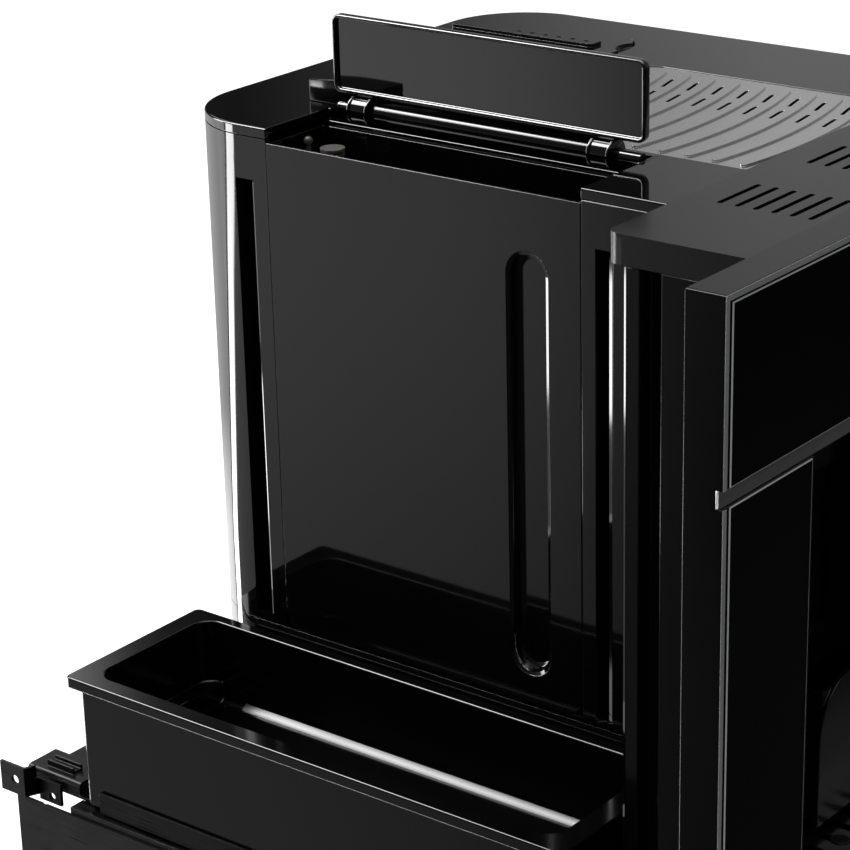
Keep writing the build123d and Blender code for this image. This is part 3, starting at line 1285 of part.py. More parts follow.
def bean_hopper():
    """Bean hopper: a collar, a taper and a post for the grind adjuster."""
    collar_low = HOPPER_TOP - HOPPER_COLLAR
    outer = hopper_outline(0, collar_low, HOPPER_TOP) + hopper_cone(0, THROAT_Z, collar_low)
    inner = hopper_outline(HOPPER_WALL, collar_low, HOPPER_TOP + 1)
    inner += hopper_cone(HOPPER_WALL, THROAT_Z, collar_low)
    hopper = outer - inner
    post_top = HOPPER_TOP - LID_SKIRT - ADJUSTER_HEIGHT - 6.0
    post_y = HOPPER_FRONT + HOPPER_WALL + ADJUSTER_POST_R
    post = rod("z", HOPPER_X, post_y, collar_low - 16.0, post_top, ADJUSTER_POST_R)
    post -= rod("z", HOPPER_X, post_y, collar_low - 6.0, post_top + 1, ADJUSTER_STEM_R + ROD_CLEARANCE)
    web = block(
        HOPPER_X - 2.0, HOPPER_X + 2.0, HOPPER_FRONT + HOPPER_WALL / 2,
        HOPPER_FRONT + HOPPER_WALL + 1.5, collar_low, post_top,
    )
    return hopper + (post & outer) + web


def grind_adjuster():
    """Knob inside the hopper that sets the grind, on its stem."""
    post_top = HOPPER_TOP - LID_SKIRT - ADJUSTER_HEIGHT - 6.0
    post_y = HOPPER_FRONT + HOPPER_WALL + ADJUSTER_POST_R
    knob_low = post_top + SEAT
    knob = rod("z", HOPPER_X, post_y, knob_low, knob_low + ADJUSTER_HEIGHT, ADJUSTER_POST_R - 0.5)
    pointer = block(
        HOPPER_X - 1.5, HOPPER_X + 1.5, post_y, post_y + ADJUSTER_R, knob_low, knob_low + ADJUSTER_HEIGHT
    )
    stem = rod("z", HOPPER_X, post_y, HOPPER_TOP - HOPPER_COLLAR - 5.0, knob_low + 1.0, ADJUSTER_STEM_R)
    return fused(knob, pointer, stem)


def bean_lid():
    """Lid of the hopper with a raised rib, a row of dimples and a finger notch at its front."""
    low = HOPPER_TOP + SEAT
    high = low + LID_THICKNESS
    lid = hopper_outline(LID_GAP, low, high)
    lid += hopper_outline(HOPPER_WALL + LID_GAP, low - LID_SKIRT, low)
    lid -= hopper_outline(HOPPER_WALL + LID_GAP + 2.0, low - LID_SKIRT - 1, low)
    rib_x = HOPPER_X + LID_RIB_SHIFT
    rib_front = HOPPER_FRONT + HOPPER_LENGTH * 0.14
    rib_rear = HOPPER_FRONT + HOPPER_LENGTH * 0.96
    rib = block(
        rib_x - LID_RIB_WIDTH / 2, rib_x + LID_RIB_WIDTH / 2, rib_front, rib_rear,
        high, high + LID_RIB_HEIGHT,
    )
    lid += rounded(rib, Axis.Z, 3.0)
    for index in range(LID_DIMPLES):
        y = rib_front + 8.0 + index * LID_DIMPLE_PITCH
        lid -= rod("z", rib_x, y, high + LID_RIB_HEIGHT - 0.8, high + LID_RIB_HEIGHT + 1, LID_DIMPLE_R)
    notch_x = HOPPER_X + NOTCH_SHIFT
    notch = Pos(notch_x, HOPPER_FRONT - 0.4 * NOTCH_R, high + 0.4 * NOTCH_R) * Sphere(NOTCH_R)
    notch &= block(
        notch_x - NOTCH_R, notch_x + NOTCH_R, HOPPER_FRONT - NOTCH_R, HOPPER_FRONT + NOTCH_R,
        low + LID_THICKNESS / 3, high + NOTCH_R,
    )
    return lid - notch


def grinder_housing():
    """Grinder case with a chute to the brew unit."""
    top = THROAT_Z
    case = rod("z", HOPPER_X, GRINDER_Y, GRINDER_BOTTOM, top, GRINDER_R)
    cavity_top = top - GRINDER_WALL
    cavity_r = GRINDER_R - GRINDER_WALL
    chute_low = GRINDER_BOTTOM + GRINDER_WALL + 4.0
    chute_high = chute_low + CHUTE_WIDTH
    half = CHUTE_WIDTH / 2
    towards_brew = Vector(BREW_X - HOPPER_X, BREW_Y - GRINDER_Y, 0)
    run = towards_brew.length - HEAD_R - 1.0
    place = Plane(origin=(HOPPER_X, GRINDER_Y, 0), x_dir=towards_brew, z_dir=(0, 0, 1)).location
    duct = place * block(cavity_r, run, -half, half, chute_low, chute_high)
    duct_bore = place * block(
        0, run - 2.0, -half + 2.0, half - 2.0, chute_low + 2.0, chute_high - 2.0
    )
    mouth = place * block(run - 10.0, run - 2.0, -half + 2.0, half - 2.0, chute_low - 1, chute_low + 3)
    whole = case + duct
    whole -= rod("z", HOPPER_X, GRINDER_Y, GRINDER_BOTTOM + GRINDER_WALL, cavity_top, cavity_r)
    whole -= rod("z", HOPPER_X, GRINDER_Y, cavity_top - 1, top + 1, THROAT_R)
    whole -= rod("z", HOPPER_X, GRINDER_Y, GRINDER_BOTTOM - 1, cavity_top, SHAFT_R + SHAFT_CLEARANCE)
    return whole - duct_bore - mouth


def upper_burr():
    """Fixed ring burr under the throat."""
    top = THROAT_Z - GRINDER_WALL
    outer = GRINDER_R - GRINDER_WALL
    ring = rod("z", HOPPER_X, GRINDER_Y, top - 20.0, top, outer)
    bore = Pos(HOPPER_X, GRINDER_Y, top - 10.0) * Cone(BURR_R + 2.5, THROAT_R - 6.0, 20.0)
    return ring - bore


def lower_burr():
    """Turning cone burr on the motor's shaft."""
    burr_low = THROAT_Z - GRINDER_WALL - BURR_DROP
    cone = Pos(HOPPER_X, GRINDER_Y, burr_low + BURR_HEIGHT / 2) * Cone(BURR_R, 6.0, BURR_HEIGHT)
    shaft_low = MOTOR_TOP - MOTOR_SHAFT_DEPTH + 1.0
    shaft = rod("z", HOPPER_X, GRINDER_Y, shaft_low, burr_low + 1.0, SHAFT_R)
    return cone + shaft


def grinder_motor():
    """Motor under the grinder, joined to it by a flange."""
    case = rod("z", HOPPER_X, GRINDER_Y, MOTOR_TOP - MOTOR_HEIGHT, MOTOR_TOP, MOTOR_R)
    case = fillet(case.edges(), 3.0)
    flange = rod("z", HOPPER_X, GRINDER_Y, MOTOR_TOP - 1.0, GRINDER_BOTTOM, 0.7 * MOTOR_R)
    foot = rod("z", HOPPER_X, GRINDER_Y, TRAY_TOP + SHELL_WALL, MOTOR_TOP - MOTOR_HEIGHT + 1.0, 0.4 * MOTOR_R)
    bore = rod(
        "z", HOPPER_X, GRINDER_Y, MOTOR_TOP - MOTOR_SHAFT_DEPTH, GRINDER_BOTTOM + 1,
        SHAFT_R + SHAFT_CLEARANCE,
    )
    return fused(case, flange, foot) - bore


# ---------------------------------------------------------------- brew unit

BREW_LEFT = BREW_X - BREW_WIDTH / 2
BREW_RIGHT = BREW_X + BREW_WIDTH / 2
BREW_FRONT = BREW_Y - BREW_DEPTH / 2
BREW_BACK = BREW_Y + BREW_DEPTH / 2
BREW_TOP = BREW_BOTTOM + BREW_HEIGHT
CHAMBER_LOW = BREW_BOTTOM + CHAMBER_RISE
CHAMBER_HIGH = CHAMBER_LOW + CHAMBER_HEIGHT
HEAD_R = CHAMBER_BORE_R - PISTON_CLEARANCE
PISTON_LOW = CHAMBER_HIGH + FUNNEL_HEIGHT / 2
GEAR_HIGH = BREW_TOP - BREW_PLATE - SEAT
GEAR_LOW = GEAR_HIGH - GEAR_HEIGHT


def brew_frame():
    """Cage of the brew unit with its two arms to the body's front wall."""
    cage = block(BREW_LEFT, BREW_RIGHT, BREW_FRONT, BREW_BACK, BREW_BOTTOM, BREW_TOP)
    cage -= block(
        BREW_LEFT + BREW_PLATE, BREW_RIGHT - BREW_PLATE, BREW_FRONT - 1, BREW_BACK + 1,
        BREW_BOTTOM + BREW_PLATE, BREW_TOP - BREW_PLATE,
    )
    for left in (BREW_LEFT, BREW_RIGHT - BREW_PLATE):
        cage += block(
            left, left + BREW_PLATE, BODY_FRONT + SHELL_WALL, BREW_FRONT,
            BREW_TOP - BREW_ARM_DROP - BREW_ARM_HEIGHT, BREW_TOP - BREW_ARM_DROP,
        )
    return cage - rod(
        "z", BREW_X, BREW_Y, BREW_TOP - BREW_PLATE - 1, BREW_TOP + 1, PISTON_ROD_R + SEAT
    )


def brew_chamber():
    """Brewing cylinder with a floor and a funnel rim, on a cross plate."""
    chamber = rod("z", BREW_X, BREW_Y, CHAMBER_LOW, CHAMBER_HIGH, CHAMBER_R)
    funnel_high = CHAMBER_HIGH + FUNNEL_HEIGHT / 4
    funnel_middle = funnel_high - FUNNEL_HEIGHT / 2
    funnel_r = CHAMBER_R + FUNNEL_HEIGHT
    chamber += Pos(BREW_X, BREW_Y, funnel_middle) * Cone(CHAMBER_R, funnel_r, FUNNEL_HEIGHT)
    chamber += block(
        BREW_LEFT + BREW_PLATE, BREW_RIGHT - BREW_PLATE, BREW_Y - CHAMBER_R, BREW_Y + CHAMBER_R,
        CHAMBER_LOW + 20.0, CHAMBER_LOW + 26.0,
    )
    chamber -= Pos(BREW_X, BREW_Y, funnel_middle) * Cone(CHAMBER_BORE_R, funnel_r - 2.0, FUNNEL_HEIGHT)
    return chamber - rod("z", BREW_X, BREW_Y, CHAMBER_LOW + 4.0, CHAMBER_HIGH, CHAMBER_BORE_R)


def brew_piston():
    """Piston with its threaded rod, drawn up so that ground coffee can fall into the chamber."""
    head = rod("z", BREW_X, BREW_Y, PISTON_LOW, PISTON_LOW + PISTON_HEAD, HEAD_R)
    return head + rod("z", BREW_X, BREW_Y, PISTON_LOW + PISTON_HEAD - 1, BREW_TOP + PISTON_TRAVEL, PISTON_ROD_R)


def brew_gear():
    """Toothed nut that turns round the piston rod and drives it."""
    gear = rod("z", BREW_X, BREW_Y, GEAR_LOW, GEAR_HIGH, GEAR_R - 2.0)
    tooth = block(GEAR_R - 3.0, GEAR_R, -1.3, 1.3, GEAR_LOW, GEAR_HIGH)
    for index in range(GEAR_TEETH):
        gear += Pos(BREW_X, BREW_Y, 0) * Rot(0, 0, 360 / GEAR_TEETH * index) * tooth
    return gear - rod("z", BREW_X, BREW_Y, GEAR_LOW - 1, GEAR_HIGH + 1, PISTON_ROD_R + ROD_CLEARANCE)


def brew_motor():
    """Drive motor of the brew unit, on the cage's right plate."""
    right = BREW_RIGHT - BREW_PLATE
    case = block(right - 20.0, right, BREW_FRONT + 6.0, BREW_FRONT + 26.0, GEAR_LOW - 40.0, GEAR_LOW - 2.0)
    case = fillet(case.edges().filter_by(Axis.Z), 3.0)
    pinion_x = right - 10.0
    pinion_y = BREW_FRONT + 16.0
    return case + rod("z", pinion_x, pinion_y, GEAR_LOW - 3.0, GEAR_HIGH, 3.0)


# ---------------------------------------------------------------- water path and electrics

def thermoblock():
    """Ribbed heater block on the tank bay's inner wall."""
    width, length, height = THERMOBLOCK_SIZE
    left = BAY_X + BAY_WALL
    front = BODY_FRONT + THERMOBLOCK_FRONT
    low = SHELL_BOTTOM + THERMOBLOCK_RISE
    heater = block(left, left + width, front, front + length, low, low + height)
    for index in range(5):
        z = low + height * (index + 0.5) / 5
        heater -= block(left + width - 6, left + width + 1, front - 1, front + length + 1, z - 3, z + 3)
    return heater


def water_pump():
    """Pump on the base floor: coil case between two round ends."""
    width, length, height = PUMP_SIZE
    floor = TRAY_TOP + SHELL_WALL
    middle_z = floor + height / 2
    coil = block(
        PUMP_X - width / 2, PUMP_X + width / 2, PUMP_Y - length / 4, PUMP_Y + length / 4,
        floor, floor + height,
    )
    coil = rounded(coil, Axis.Y, 4.0)
    return coil + rod("y", PUMP_X, middle_z, PUMP_Y - length / 2, PUMP_Y + length / 2, height * 0.28)


def flow_meter():
    """Flow meter between tank and pump."""
    floor = TRAY_TOP + SHELL_WALL
    return rod("z", METER_X, METER_Y, floor, floor + METER_HEIGHT, METER_R)


def hose(points, radii):
    """A hose of round section along straight runs and arcs."""
    path = FilletPolyline(*points, radius=radii)
    start = Plane(origin=path @ 0, z_dir=path % 0)
    return sweep(start * Circle(HOSE_R), path=path)


def water_hoses():
    """Hoses: tank socket to flow meter, pump to heater, heater to brew head."""
    socket_x = BAY_X + BAY_WALL + SPIGOT_LENGTH + 12.0
    meter_top = TRAY_TOP + SHELL_WALL + METER_HEIGHT
    first = hose(
        [
            (socket_x, SPIGOT_Y, SPIGOT_Z),
            (METER_X + 14.0, SPIGOT_Y, SPIGOT_Z),
            (METER_X + 14.0, METER_Y, SPIGOT_Z - 10.0),
            (METER_X, METER_Y, SPIGOT_Z - 34.0),
            (METER_X, METER_Y, meter_top),
        ],
        8.0,
    )
    width, length, height = PUMP_SIZE
    heater_width, heater_length, heater_height = THERMOBLOCK_SIZE
    floor = TRAY_TOP + SHELL_WALL
    pump_front = PUMP_Y - length / 2
    heater_x = BAY_X + BAY_WALL + heater_width / 2
    heater_back = BODY_FRONT + THERMOBLOCK_FRONT + heater_length
    heater_z = SHELL_BOTTOM + THERMOBLOCK_RISE + heater_height / 2
    pump_z = floor + height / 2
    second = hose(
        [
            (PUMP_X, pump_front, pump_z),
            (PUMP_X, pump_front - 12.0, pump_z),
            (BAY_X + 24.0, heater_back + 60.0, pump_z + 20.0),
            (BAY_X + 24.0, heater_back + 40.0, heater_z),
            (heater_x, heater_back + 14.0, heater_z),
            (heater_x, heater_back, heater_z),
        ],
        6.0,
    )
    heater_top = SHELL_BOTTOM + THERMOBLOCK_RISE + heater_height
    third = hose(
        [
            (heater_x, heater_back - 20.0, heater_top),
            (heater_x, heater_back - 20.0, BREW_TOP + 24.0),
            (BREW_LEFT + 16.0, BREW_FRONT + 14.0, BREW_TOP + 24.0),
            (BREW_LEFT + 16.0, BREW_FRONT + 14.0, BREW_TOP),
        ],
        10.0,
    )
    return solids_of([first, second, third])


def control_board():
    """Circuit board on posts at the rear shell's inside, with its larger components."""
    inner = BODY_REAR - SHELL_WALL
    board_back = inner - STANDOFF
    board_front = board_back - BOARD_SHEET
    left = BOARD_X - BOARD_WIDTH / 2
    right = BOARD_X + BOARD_WIDTH / 2
    top = BOARD_BOTTOM + BOARD_HEIGHT
    board = block(left, right, board_front, board_back, BOARD_BOTTOM, top)
    for x in (left + 8.0, right - 8.0):
        for z in (BOARD_BOTTOM + 8.0, top - 8.0):
            board += rod("y", x, z, board_back, inner, 3.0)
    low = BOARD_BOTTOM + 1.5 * PART_MARGIN
    near = left + PART_MARGIN
    far = right - PART_MARGIN
    wide, deep, high = TRANSFORMER
    board += block(near, near + wide, board_front - deep, board_front, low, low + high)
    wide, deep, high = RELAY_BANK
    board += block(far - wide, far, board_front - deep, board_front, low, low + high)
    wide, deep, high = HEAT_SINK
    sink_top = top - 3 * PART_MARGIN
    return board + block(near, near + wide, board_front - deep, board_front, sink_top - high, sink_top)


def power_inlet():
    """Appliance inlet in the base's rear wall, with its three pins."""
    inner = BODY_REAR - SHELL_WALL
    outer = BODY_REAR
    half_w = INLET_WIDTH / 2
    half_h = INLET_HEIGHT / 2
    case = block(
        INLET_X - half_w + 0.2, INLET_X + half_w - 0.2, inner - 14.0, outer, INLET_Z - half_h + 0.2,
        INLET_Z + half_h - 0.2,
    )
    flange = block(
        INLET_X - half_w - 6, INLET_X + half_w + 6, outer, outer + 2.0, INLET_Z - half_h - 3, INLET_Z + half_h + 3
    )
    socket = block(
        INLET_X - half_w + 2, INLET_X + half_w - 2, inner - 12.0, outer + 3.0, INLET_Z - half_h + 2,
        INLET_Z + half_h - 2,
    )
    body = case + flange - socket
    for x, z in ((-7.0, 2.0), (0.0, -2.0), (7.0, 2.0)):
        body += block(
            INLET_X + x - 1, INLET_X + x + 1, inner - 12.5, outer - 2.0, INLET_Z + z - 2, INLET_Z + z + 2
        )
    return body


# ---------------------------------------------------------------- accessory tray, screws

def accessory_tray():
    """Tray beside the body: overhanging rim, a step at its rear end and a skirt below its floor."""
    left = PAN_OUTER
    right = PAN_INNER
    rear = PAN_Y + PAN_LENGTH
    rim = rounded(block(left, right, PAN_Y, rear, PAN_TOP - PAN_RIM_HEIGHT, PAN_TOP), Axis.Z, PAN_RIM_R)
    tub_left = left + PAN_OVERHANG
    tub_right = right - PAN_INNER_OVERHANG
    tub_front = PAN_Y + PAN_END_OVERHANG
    tub_rear = rear - PAN_END_OVERHANG
    tub = rounded(
        block(tub_left, tub_right, tub_front, tub_rear, PAN_BOTTOM, PAN_TOP), Axis.Z, PAN_RIM_R
    )
    under = block(
        tub_left + PAN_SKIRT, tub_right - PAN_SKIRT, tub_front + PAN_SKIRT, tub_rear - PAN_SKIRT,
        PAN_BOTTOM - 1, PAN_FLOOR_Z - PAN_FLOOR,
    )
    inner_left = left + PAN_OUTER_RIM
    inner_right = right - PAN_INNER_RIM
    inner_rear = rear - PAN_END_RIM
    hollow = block(inner_left, inner_right, PAN_Y + PAN_END_RIM, inner_rear, PAN_FLOOR_Z, PAN_TOP + 1)
    hollow = rounded(hollow, Axis.Z, PAN_CORNER_R)
    hollow = fillet(hollow.faces().sort_by(Axis.Z)[0].edges(), PAN_FLOOR_R)
    step = block(
        inner_left - 1, inner_right + 1, inner_rear - PAN_STEP_LENGTH, inner_rear + 1,
        PAN_FLOOR_Z - PAN_FLOOR, PAN_FLOOR_Z + PAN_STEP_HEIGHT,
    )
    return rim + tub - under - hollow + step


def screw(x, z):
    """Pan-head screw from behind into the rear wall."""
    shank = rod("y", x, z, BODY_REAR - 10.0, BODY_REAR + 0.5, SCREW_R)
    head = rod("y", x, z, BODY_REAR, BODY_REAR + SCREW_HEAD, SCREW_HEAD_R)
    return shank + head


def case_screws():
    """Screws in the rear of the shell and base."""
    screws = []
    for x in SCREW_XS:
        screws.append(screw(x, BASE_SCREW_Z))
        for z in SHELL_SCREW_ZS:
            screws.append(screw(x, z))
    return solids_of(screws)


def carriage_rivets():
    """Rivets that hold the inner rails to the carriage tray's webs."""
    rivets = []
    for y in RIVET_YS:
        low = -STACK_X - RAIL_SHEET
        high = -STACK_X + TRAY_SHEET
        rivet = rod("x", y, RAIL_MID_Z, low, high, RIVET_R)
        rivet += rod("x", y, RAIL_MID_Z, high, high + 1.2, 1.7 * RIVET_R)
        rivets.append(rivet)
    return solids_of(rivets + [mirror(rivet, Plane.YZ) for rivet in rivets])


# ---------------------------------------------------------------- write the parts

PARTS = {
    "niche_brackets": both_sides(niche_bracket()),
    "rear_tie_bar": rear_tie_bar(),
    "outer_rails": both_sides(outer_rail()),
    "rail_rivets": rail_rivets(),
    "middle_rails": both_sides(middle_rail()),
    "ball_cages": ball_cages(),
    "inner_rails": both_sides(inner_rail()),
    "carriage_tray": carriage_tray(),
    "carriage_rivets": carriage_rivets(),
    "rear_catches": both_sides(rear_catch()),
    "fascia_frame": fascia_frame(),
    "upper_glass": upper_glass(),
    "lower_glasses": both_sides(lower_glass()),
    "trim_strip": trim_strip(),
    "touch_display": touch_display(),
    "deck_cover": deck_cover(),
    "side_columns": both_sides(side_column()),
    "recess_liner": recess_liner(),
    "recess_lamps": recess_lamps(),
    "outlet_guide": outlet_guide(),
    "coffee_outlet": coffee_outlet(),
    "outlet_spouts": outlet_spouts(),
    "drip_tray": drip_tray(),
    "drip_grid": drip_grid(),
    "drip_float": drip_float(),
    "grounds_box": grounds_box(),
    "base_housing": base_housing(),
    "rear_shell": rear_shell(),
    "front_pillars": both_sides(front_pillar()),
    "front_wall": front_wall(),
    "service_panel": service_panel(),
    "tank_bay": tank_bay(),
    "top_shell": top_shell(),
    "water_tank": water_tank(),
    "level_sensor": level_sensor(),
    "hinge_beam": hinge_beam(),
    "hinge_clamps": hinge_clamps(),
    "hinge_rod": hinge_rod(),
    "flap_panel": flap_panel(),
    "cup_tray": cup_tray(),
    "bean_hopper": bean_hopper(),
    "grind_adjuster": grind_adjuster(),
    "bean_lid": bean_lid(),
    "grinder_housing": grinder_housing(),
    "upper_burr": upper_burr(),
    "lower_burr": lower_burr(),
    "grinder_motor": grinder_motor(),
    "brew_frame": brew_frame(),
    "brew_chamber": brew_chamber(),
    "brew_piston": brew_piston(),
    "brew_gear": brew_gear(),
    "brew_motor": brew_motor(),
    "thermoblock": thermoblock(),
    "water_pump": water_pump(),
    "flow_meter": flow_meter(),
    "water_hoses": water_hoses(),
    "control_board": control_board(),
    "power_inlet": power_inlet(),
    "accessory_tray": accessory_tray(),
    "case_screws": case_screws(),
}

os.makedirs("parts", exist_ok=True)
for name, shape in PARTS.items():
    export_step(shape, f"parts/{name}.step")
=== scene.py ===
"""Looks of a built-in coffee machine on pull-out rails: finishes, fine shapes, light and camera."""

import json
import logging
import math
from dataclasses import dataclass, field, replace
from enum import Enum, IntEnum
from typing import Any, Mapping, Sequence

import bmesh
import bpy
from mathutils import Matrix, Vector


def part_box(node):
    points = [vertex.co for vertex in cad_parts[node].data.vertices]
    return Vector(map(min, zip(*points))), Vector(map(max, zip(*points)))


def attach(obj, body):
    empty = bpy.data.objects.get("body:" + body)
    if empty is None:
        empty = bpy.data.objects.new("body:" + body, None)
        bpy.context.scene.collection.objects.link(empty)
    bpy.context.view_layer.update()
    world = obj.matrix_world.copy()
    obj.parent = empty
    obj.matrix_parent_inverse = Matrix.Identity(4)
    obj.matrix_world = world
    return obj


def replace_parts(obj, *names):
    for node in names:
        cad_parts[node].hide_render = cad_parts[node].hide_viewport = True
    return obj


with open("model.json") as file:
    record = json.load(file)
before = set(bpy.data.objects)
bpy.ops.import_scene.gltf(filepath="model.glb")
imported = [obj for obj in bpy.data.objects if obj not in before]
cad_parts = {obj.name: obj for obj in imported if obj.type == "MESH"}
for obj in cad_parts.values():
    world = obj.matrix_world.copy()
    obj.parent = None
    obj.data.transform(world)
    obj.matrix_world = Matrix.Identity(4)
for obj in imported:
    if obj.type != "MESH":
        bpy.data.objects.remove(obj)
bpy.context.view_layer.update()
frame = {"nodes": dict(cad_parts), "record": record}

LOG = logging.getLogger("coffee_machine")
MM = 0.001
PEAK = 16.0           # brightest radiance of the studio, 1 on its colour ramps
SMALLEST_BEND = 0.4   # mm, corner radius that an inset leaves
CORNER_STEPS = 8      # facets of a quarter turn
BEAD_STEPS = 6        # facets of a rim's half round
TURNED_FACETS = 48    # facets of a turned piece
HANDS = (("left", 1.0), ("right", -1.0))   # the photograph shows the left side; the right mirrors it

MATH = "ShaderNodeMath"
MAP_RANGE = "ShaderNodeMapRange"
MIX = "ShaderNodeMix"

Point = tuple[float, float, float]
Flat = tuple[float, float]
Socket = bpy.types.NodeSocket


class MixIn(IntEnum):
    """Inputs of Blender's mix node, by number, since their names repeat."""

    SHARE = 0
    NUMBER_A = 2
    NUMBER_B = 3
    COLOUR_A = 6
    COLOUR_B = 7


class MixOut(IntEnum):
    """Outputs of Blender's mix node, by number."""

    NUMBER = 0
    COLOUR = 2


# ------------------------------------------------------------------ colour and node tools

def linear(hex_colour: str) -> tuple[float, float, float, float]:
    """Turn an sRGB hex colour into linear light.

    Args:
        hex_colour: Six hex digits, with or without a leading hash.

    Returns:
        Linear red, green and blue, and an alpha of 1.
    """
    digits = hex_colour.lstrip("#")
    channels = []
    for start in (0, 2, 4):
        value = int(digits[start:start + 2], 16) / 255
        channels.append(value / 12.92 if value <= 0.04045 else ((value + 0.055) / 1.055) ** 2.4)
    return (channels[0], channels[1], channels[2], 1.0)


def add_node(tree: bpy.types.NodeTree, kind: str, settings: Mapping[str | int, Any]) -> bpy.types.Node:
    """Add a shader node, set its options and sockets, and link its inputs.

    Args:
        tree: Node tree that gets the node.
        kind: Blender's type name of the node.
        settings: Option or input, by name or number, to its value. An output socket as value is linked.

    Returns:
        The new node.
    """
    node = tree.nodes.new(kind)
    for name, value in settings.items():
        if isinstance(value, Socket):
            tree.links.new(value, node.inputs[name])
        elif isinstance(name, str) and hasattr(node, name):
            setattr(node, name, value)
        else:
            node.inputs[name].default_value = value
    return node


class Grain(Enum):
    """How the small pattern of a finish runs."""

    EVEN = (1.0, 1.0, 1.0)
    ALONG_X = (0.02, 1.0, 1.0)
    ALONG_Y = (1.0, 0.02, 1.0)
    ALONG_Z = (1.0, 1.0, 0.02)


@dataclass(frozen=True)
class Finish:
    """A surface: what it is made of, how it was made, and its fine pattern.

    Attributes:
        name: Material and process.
        colour: sRGB hex colour of the surface.
        worn: sRGB hex colour of its palest patches.
        roughness: Mean roughness.
        spread: How far the roughness strays over a hand's width.
        metallic: 1 for bare metal.
        ior: Refractive index of a plastic, paint or glass.
        specular: Specular level; 0.5 is the plain Fresnel value.
        grain_mm: Size of the fine pattern.
        grain_depth_mm: Height of the fine pattern.
        grain: Direction of the fine pattern.
        wave_mm: Size of slow unevenness left by the mould or press.
        wave_depth_mm: Height of that unevenness.
        glow: Emission strength, for lamp lenses.
    """

    name: str
    colour: str
    worn: str
    roughness: float
    spread: float = 0.05
    metallic: float = 0.0
    ior: float = 1.5
    specular: float = 0.5
    grain_mm: float = 0.6
    grain_depth_mm: float = 0.0
    grain: Grain = Grain.EVEN
    wave_mm: float = 60.0
    wave_depth_mm: float = 0.0
    glow: float = 0.0

    def patterns(self, tree: bpy.types.NodeTree) -> tuple[Socket, Socket]:
        """Add the two noises that the surface varies by.

        Args:
            tree: The material's node tree.

        Returns:
            The slow unevenness and the fine pattern.
        """
        place = add_node(tree, "ShaderNodeTexCoord", {}).outputs["Object"]
        stretched = add_node(
            tree, "ShaderNodeMapping", {"Scale": self.grain.value, "Vector": place}
        ).outputs["Vector"]
        slow = add_node(
            tree, "ShaderNodeTexNoise", {"Scale": 1 / (self.wave_mm * MM), "Detail": 2.0, "Vector": place}
        ).outputs["Fac"]
        fine = add_node(
            tree, "ShaderNodeTexNoise",
            {"Scale": 1 / (self.grain_mm * MM), "Detail": 3.0, "Vector": stretched},
        ).outputs["Fac"]
        return slow, fine

    def relief(self, tree: bpy.types.NodeTree, slow: Socket, fine: Socket) -> dict[str, Socket]:
        """Add the height of the two patterns.

        Args:
            tree: The material's node tree.
            slow: The slow unevenness.
            fine: The fine pattern.

        Returns:
            The surface's normal, or nothing where it is quite smooth.
        """
        normal: dict[str, Socket] = {}
        for height, depth_mm in ((slow, self.wave_depth_mm), (fine, self.grain_depth_mm)):
            if depth_mm:
                bump = add_node(
                    tree, "ShaderNodeBump",
                    {"Distance": depth_mm * MM, "Strength": 1.0, "Height": height, **normal},
                )
                normal = {"Normal": bump.outputs["Normal"]}
        return normal

    def material(self) -> bpy.types.Material:
        """Build the material once and hand out the same one later.

        Returns:
            The Blender material of this finish.
        """
        known = bpy.data.materials.get(self.name)
        if known:
            return known
        made = bpy.data.materials.new(self.name)
        made.use_nodes = True
        tree = made.node_tree
        tree.nodes.clear()
        slow, fine = self.patterns(tree)
        both = add_node(tree, MATH, {"operation": "MULTIPLY", 0: slow, 1: fine}).outputs["Value"]
        share = add_node(
            tree, MAP_RANGE, {"From Min": 0.12, "From Max": 0.42, "Value": both}
        ).outputs["Result"]
        tone = add_node(
            tree, MIX,
            {"data_type": "RGBA", MixIn.SHARE: share, MixIn.COLOUR_A: linear(self.colour),
             MixIn.COLOUR_B: linear(self.worn)},
        ).outputs[MixOut.COLOUR]
        shine = add_node(
            tree, MAP_RANGE,
            {"From Min": 0.2, "From Max": 0.8, "To Min": max(0.01, self.roughness - self.spread),
             "To Max": min(1.0, self.roughness + self.spread),
             "Value": slow if self.grain is Grain.EVEN else fine},
        ).outputs["Result"]
        surface = add_node(
            tree, "ShaderNodeBsdfPrincipled",
            {"Metallic": self.metallic, "IOR": self.ior, "Specular IOR Level": self.specular,
             "Base Color": tone, "Roughness": shine, **self.relief(tree, slow, fine)},
        )
        if self.glow:
            surface.inputs["Emission Color"].default_value = linear(self.colour)
            surface.inputs["Emission Strength"].default_value = self.glow
        add_node(tree, "ShaderNodeOutputMaterial", {"Surface": surface.outputs["BSDF"]})
        made.diffuse_color = linear(self.colour)
        return made


# Mould grain and brushed, rolled or drawn marks lie 0.05 to 0.3 mm apart on the real pieces, too close to
# show in the render, so grain_mm draws them at 0.5 to 0.9 mm.

# ABS, injection moulded in a polished mould: deep black with a faint orange peel in its reflections.
GLOSS_ABS = Finish(
    "abs_moulded_high_gloss", "#060606", "#080808", 0.045, 0.015, ior=1.53, specular=0.5,
    grain_mm=1.6, grain_depth_mm=0.0006, wave_mm=90, wave_depth_mm=0.015,
)
# The flap's plate takes a copy of the gloss black with a raised specular level: a painted sheen, so it
# mirrors more of the room than the rest.
PAINTED_SHEEN_ABS = replace(GLOSS_ABS, name="abs_gloss_painted_sheen", specular=0.9)
# ABS, moulded in a finely eroded mould: black, satin, with a sand-like grain.
SATIN_ABS = Finish(
    "abs_moulded_satin", "#070707", "#0b0b0b", 0.24, 0.04, ior=1.53, specular=0.32,
    grain_mm=0.7, grain_depth_mm=0.006, wave_mm=70,
)
# Polypropylene, moulded: dull black inner parts.
INNER_PP = Finish(
    "polypropylene_moulded_matt", "#101010", "#151515", 0.5, 0.06, ior=1.49, specular=0.3,
    grain_mm=0.9, grain_depth_mm=0.015,
)
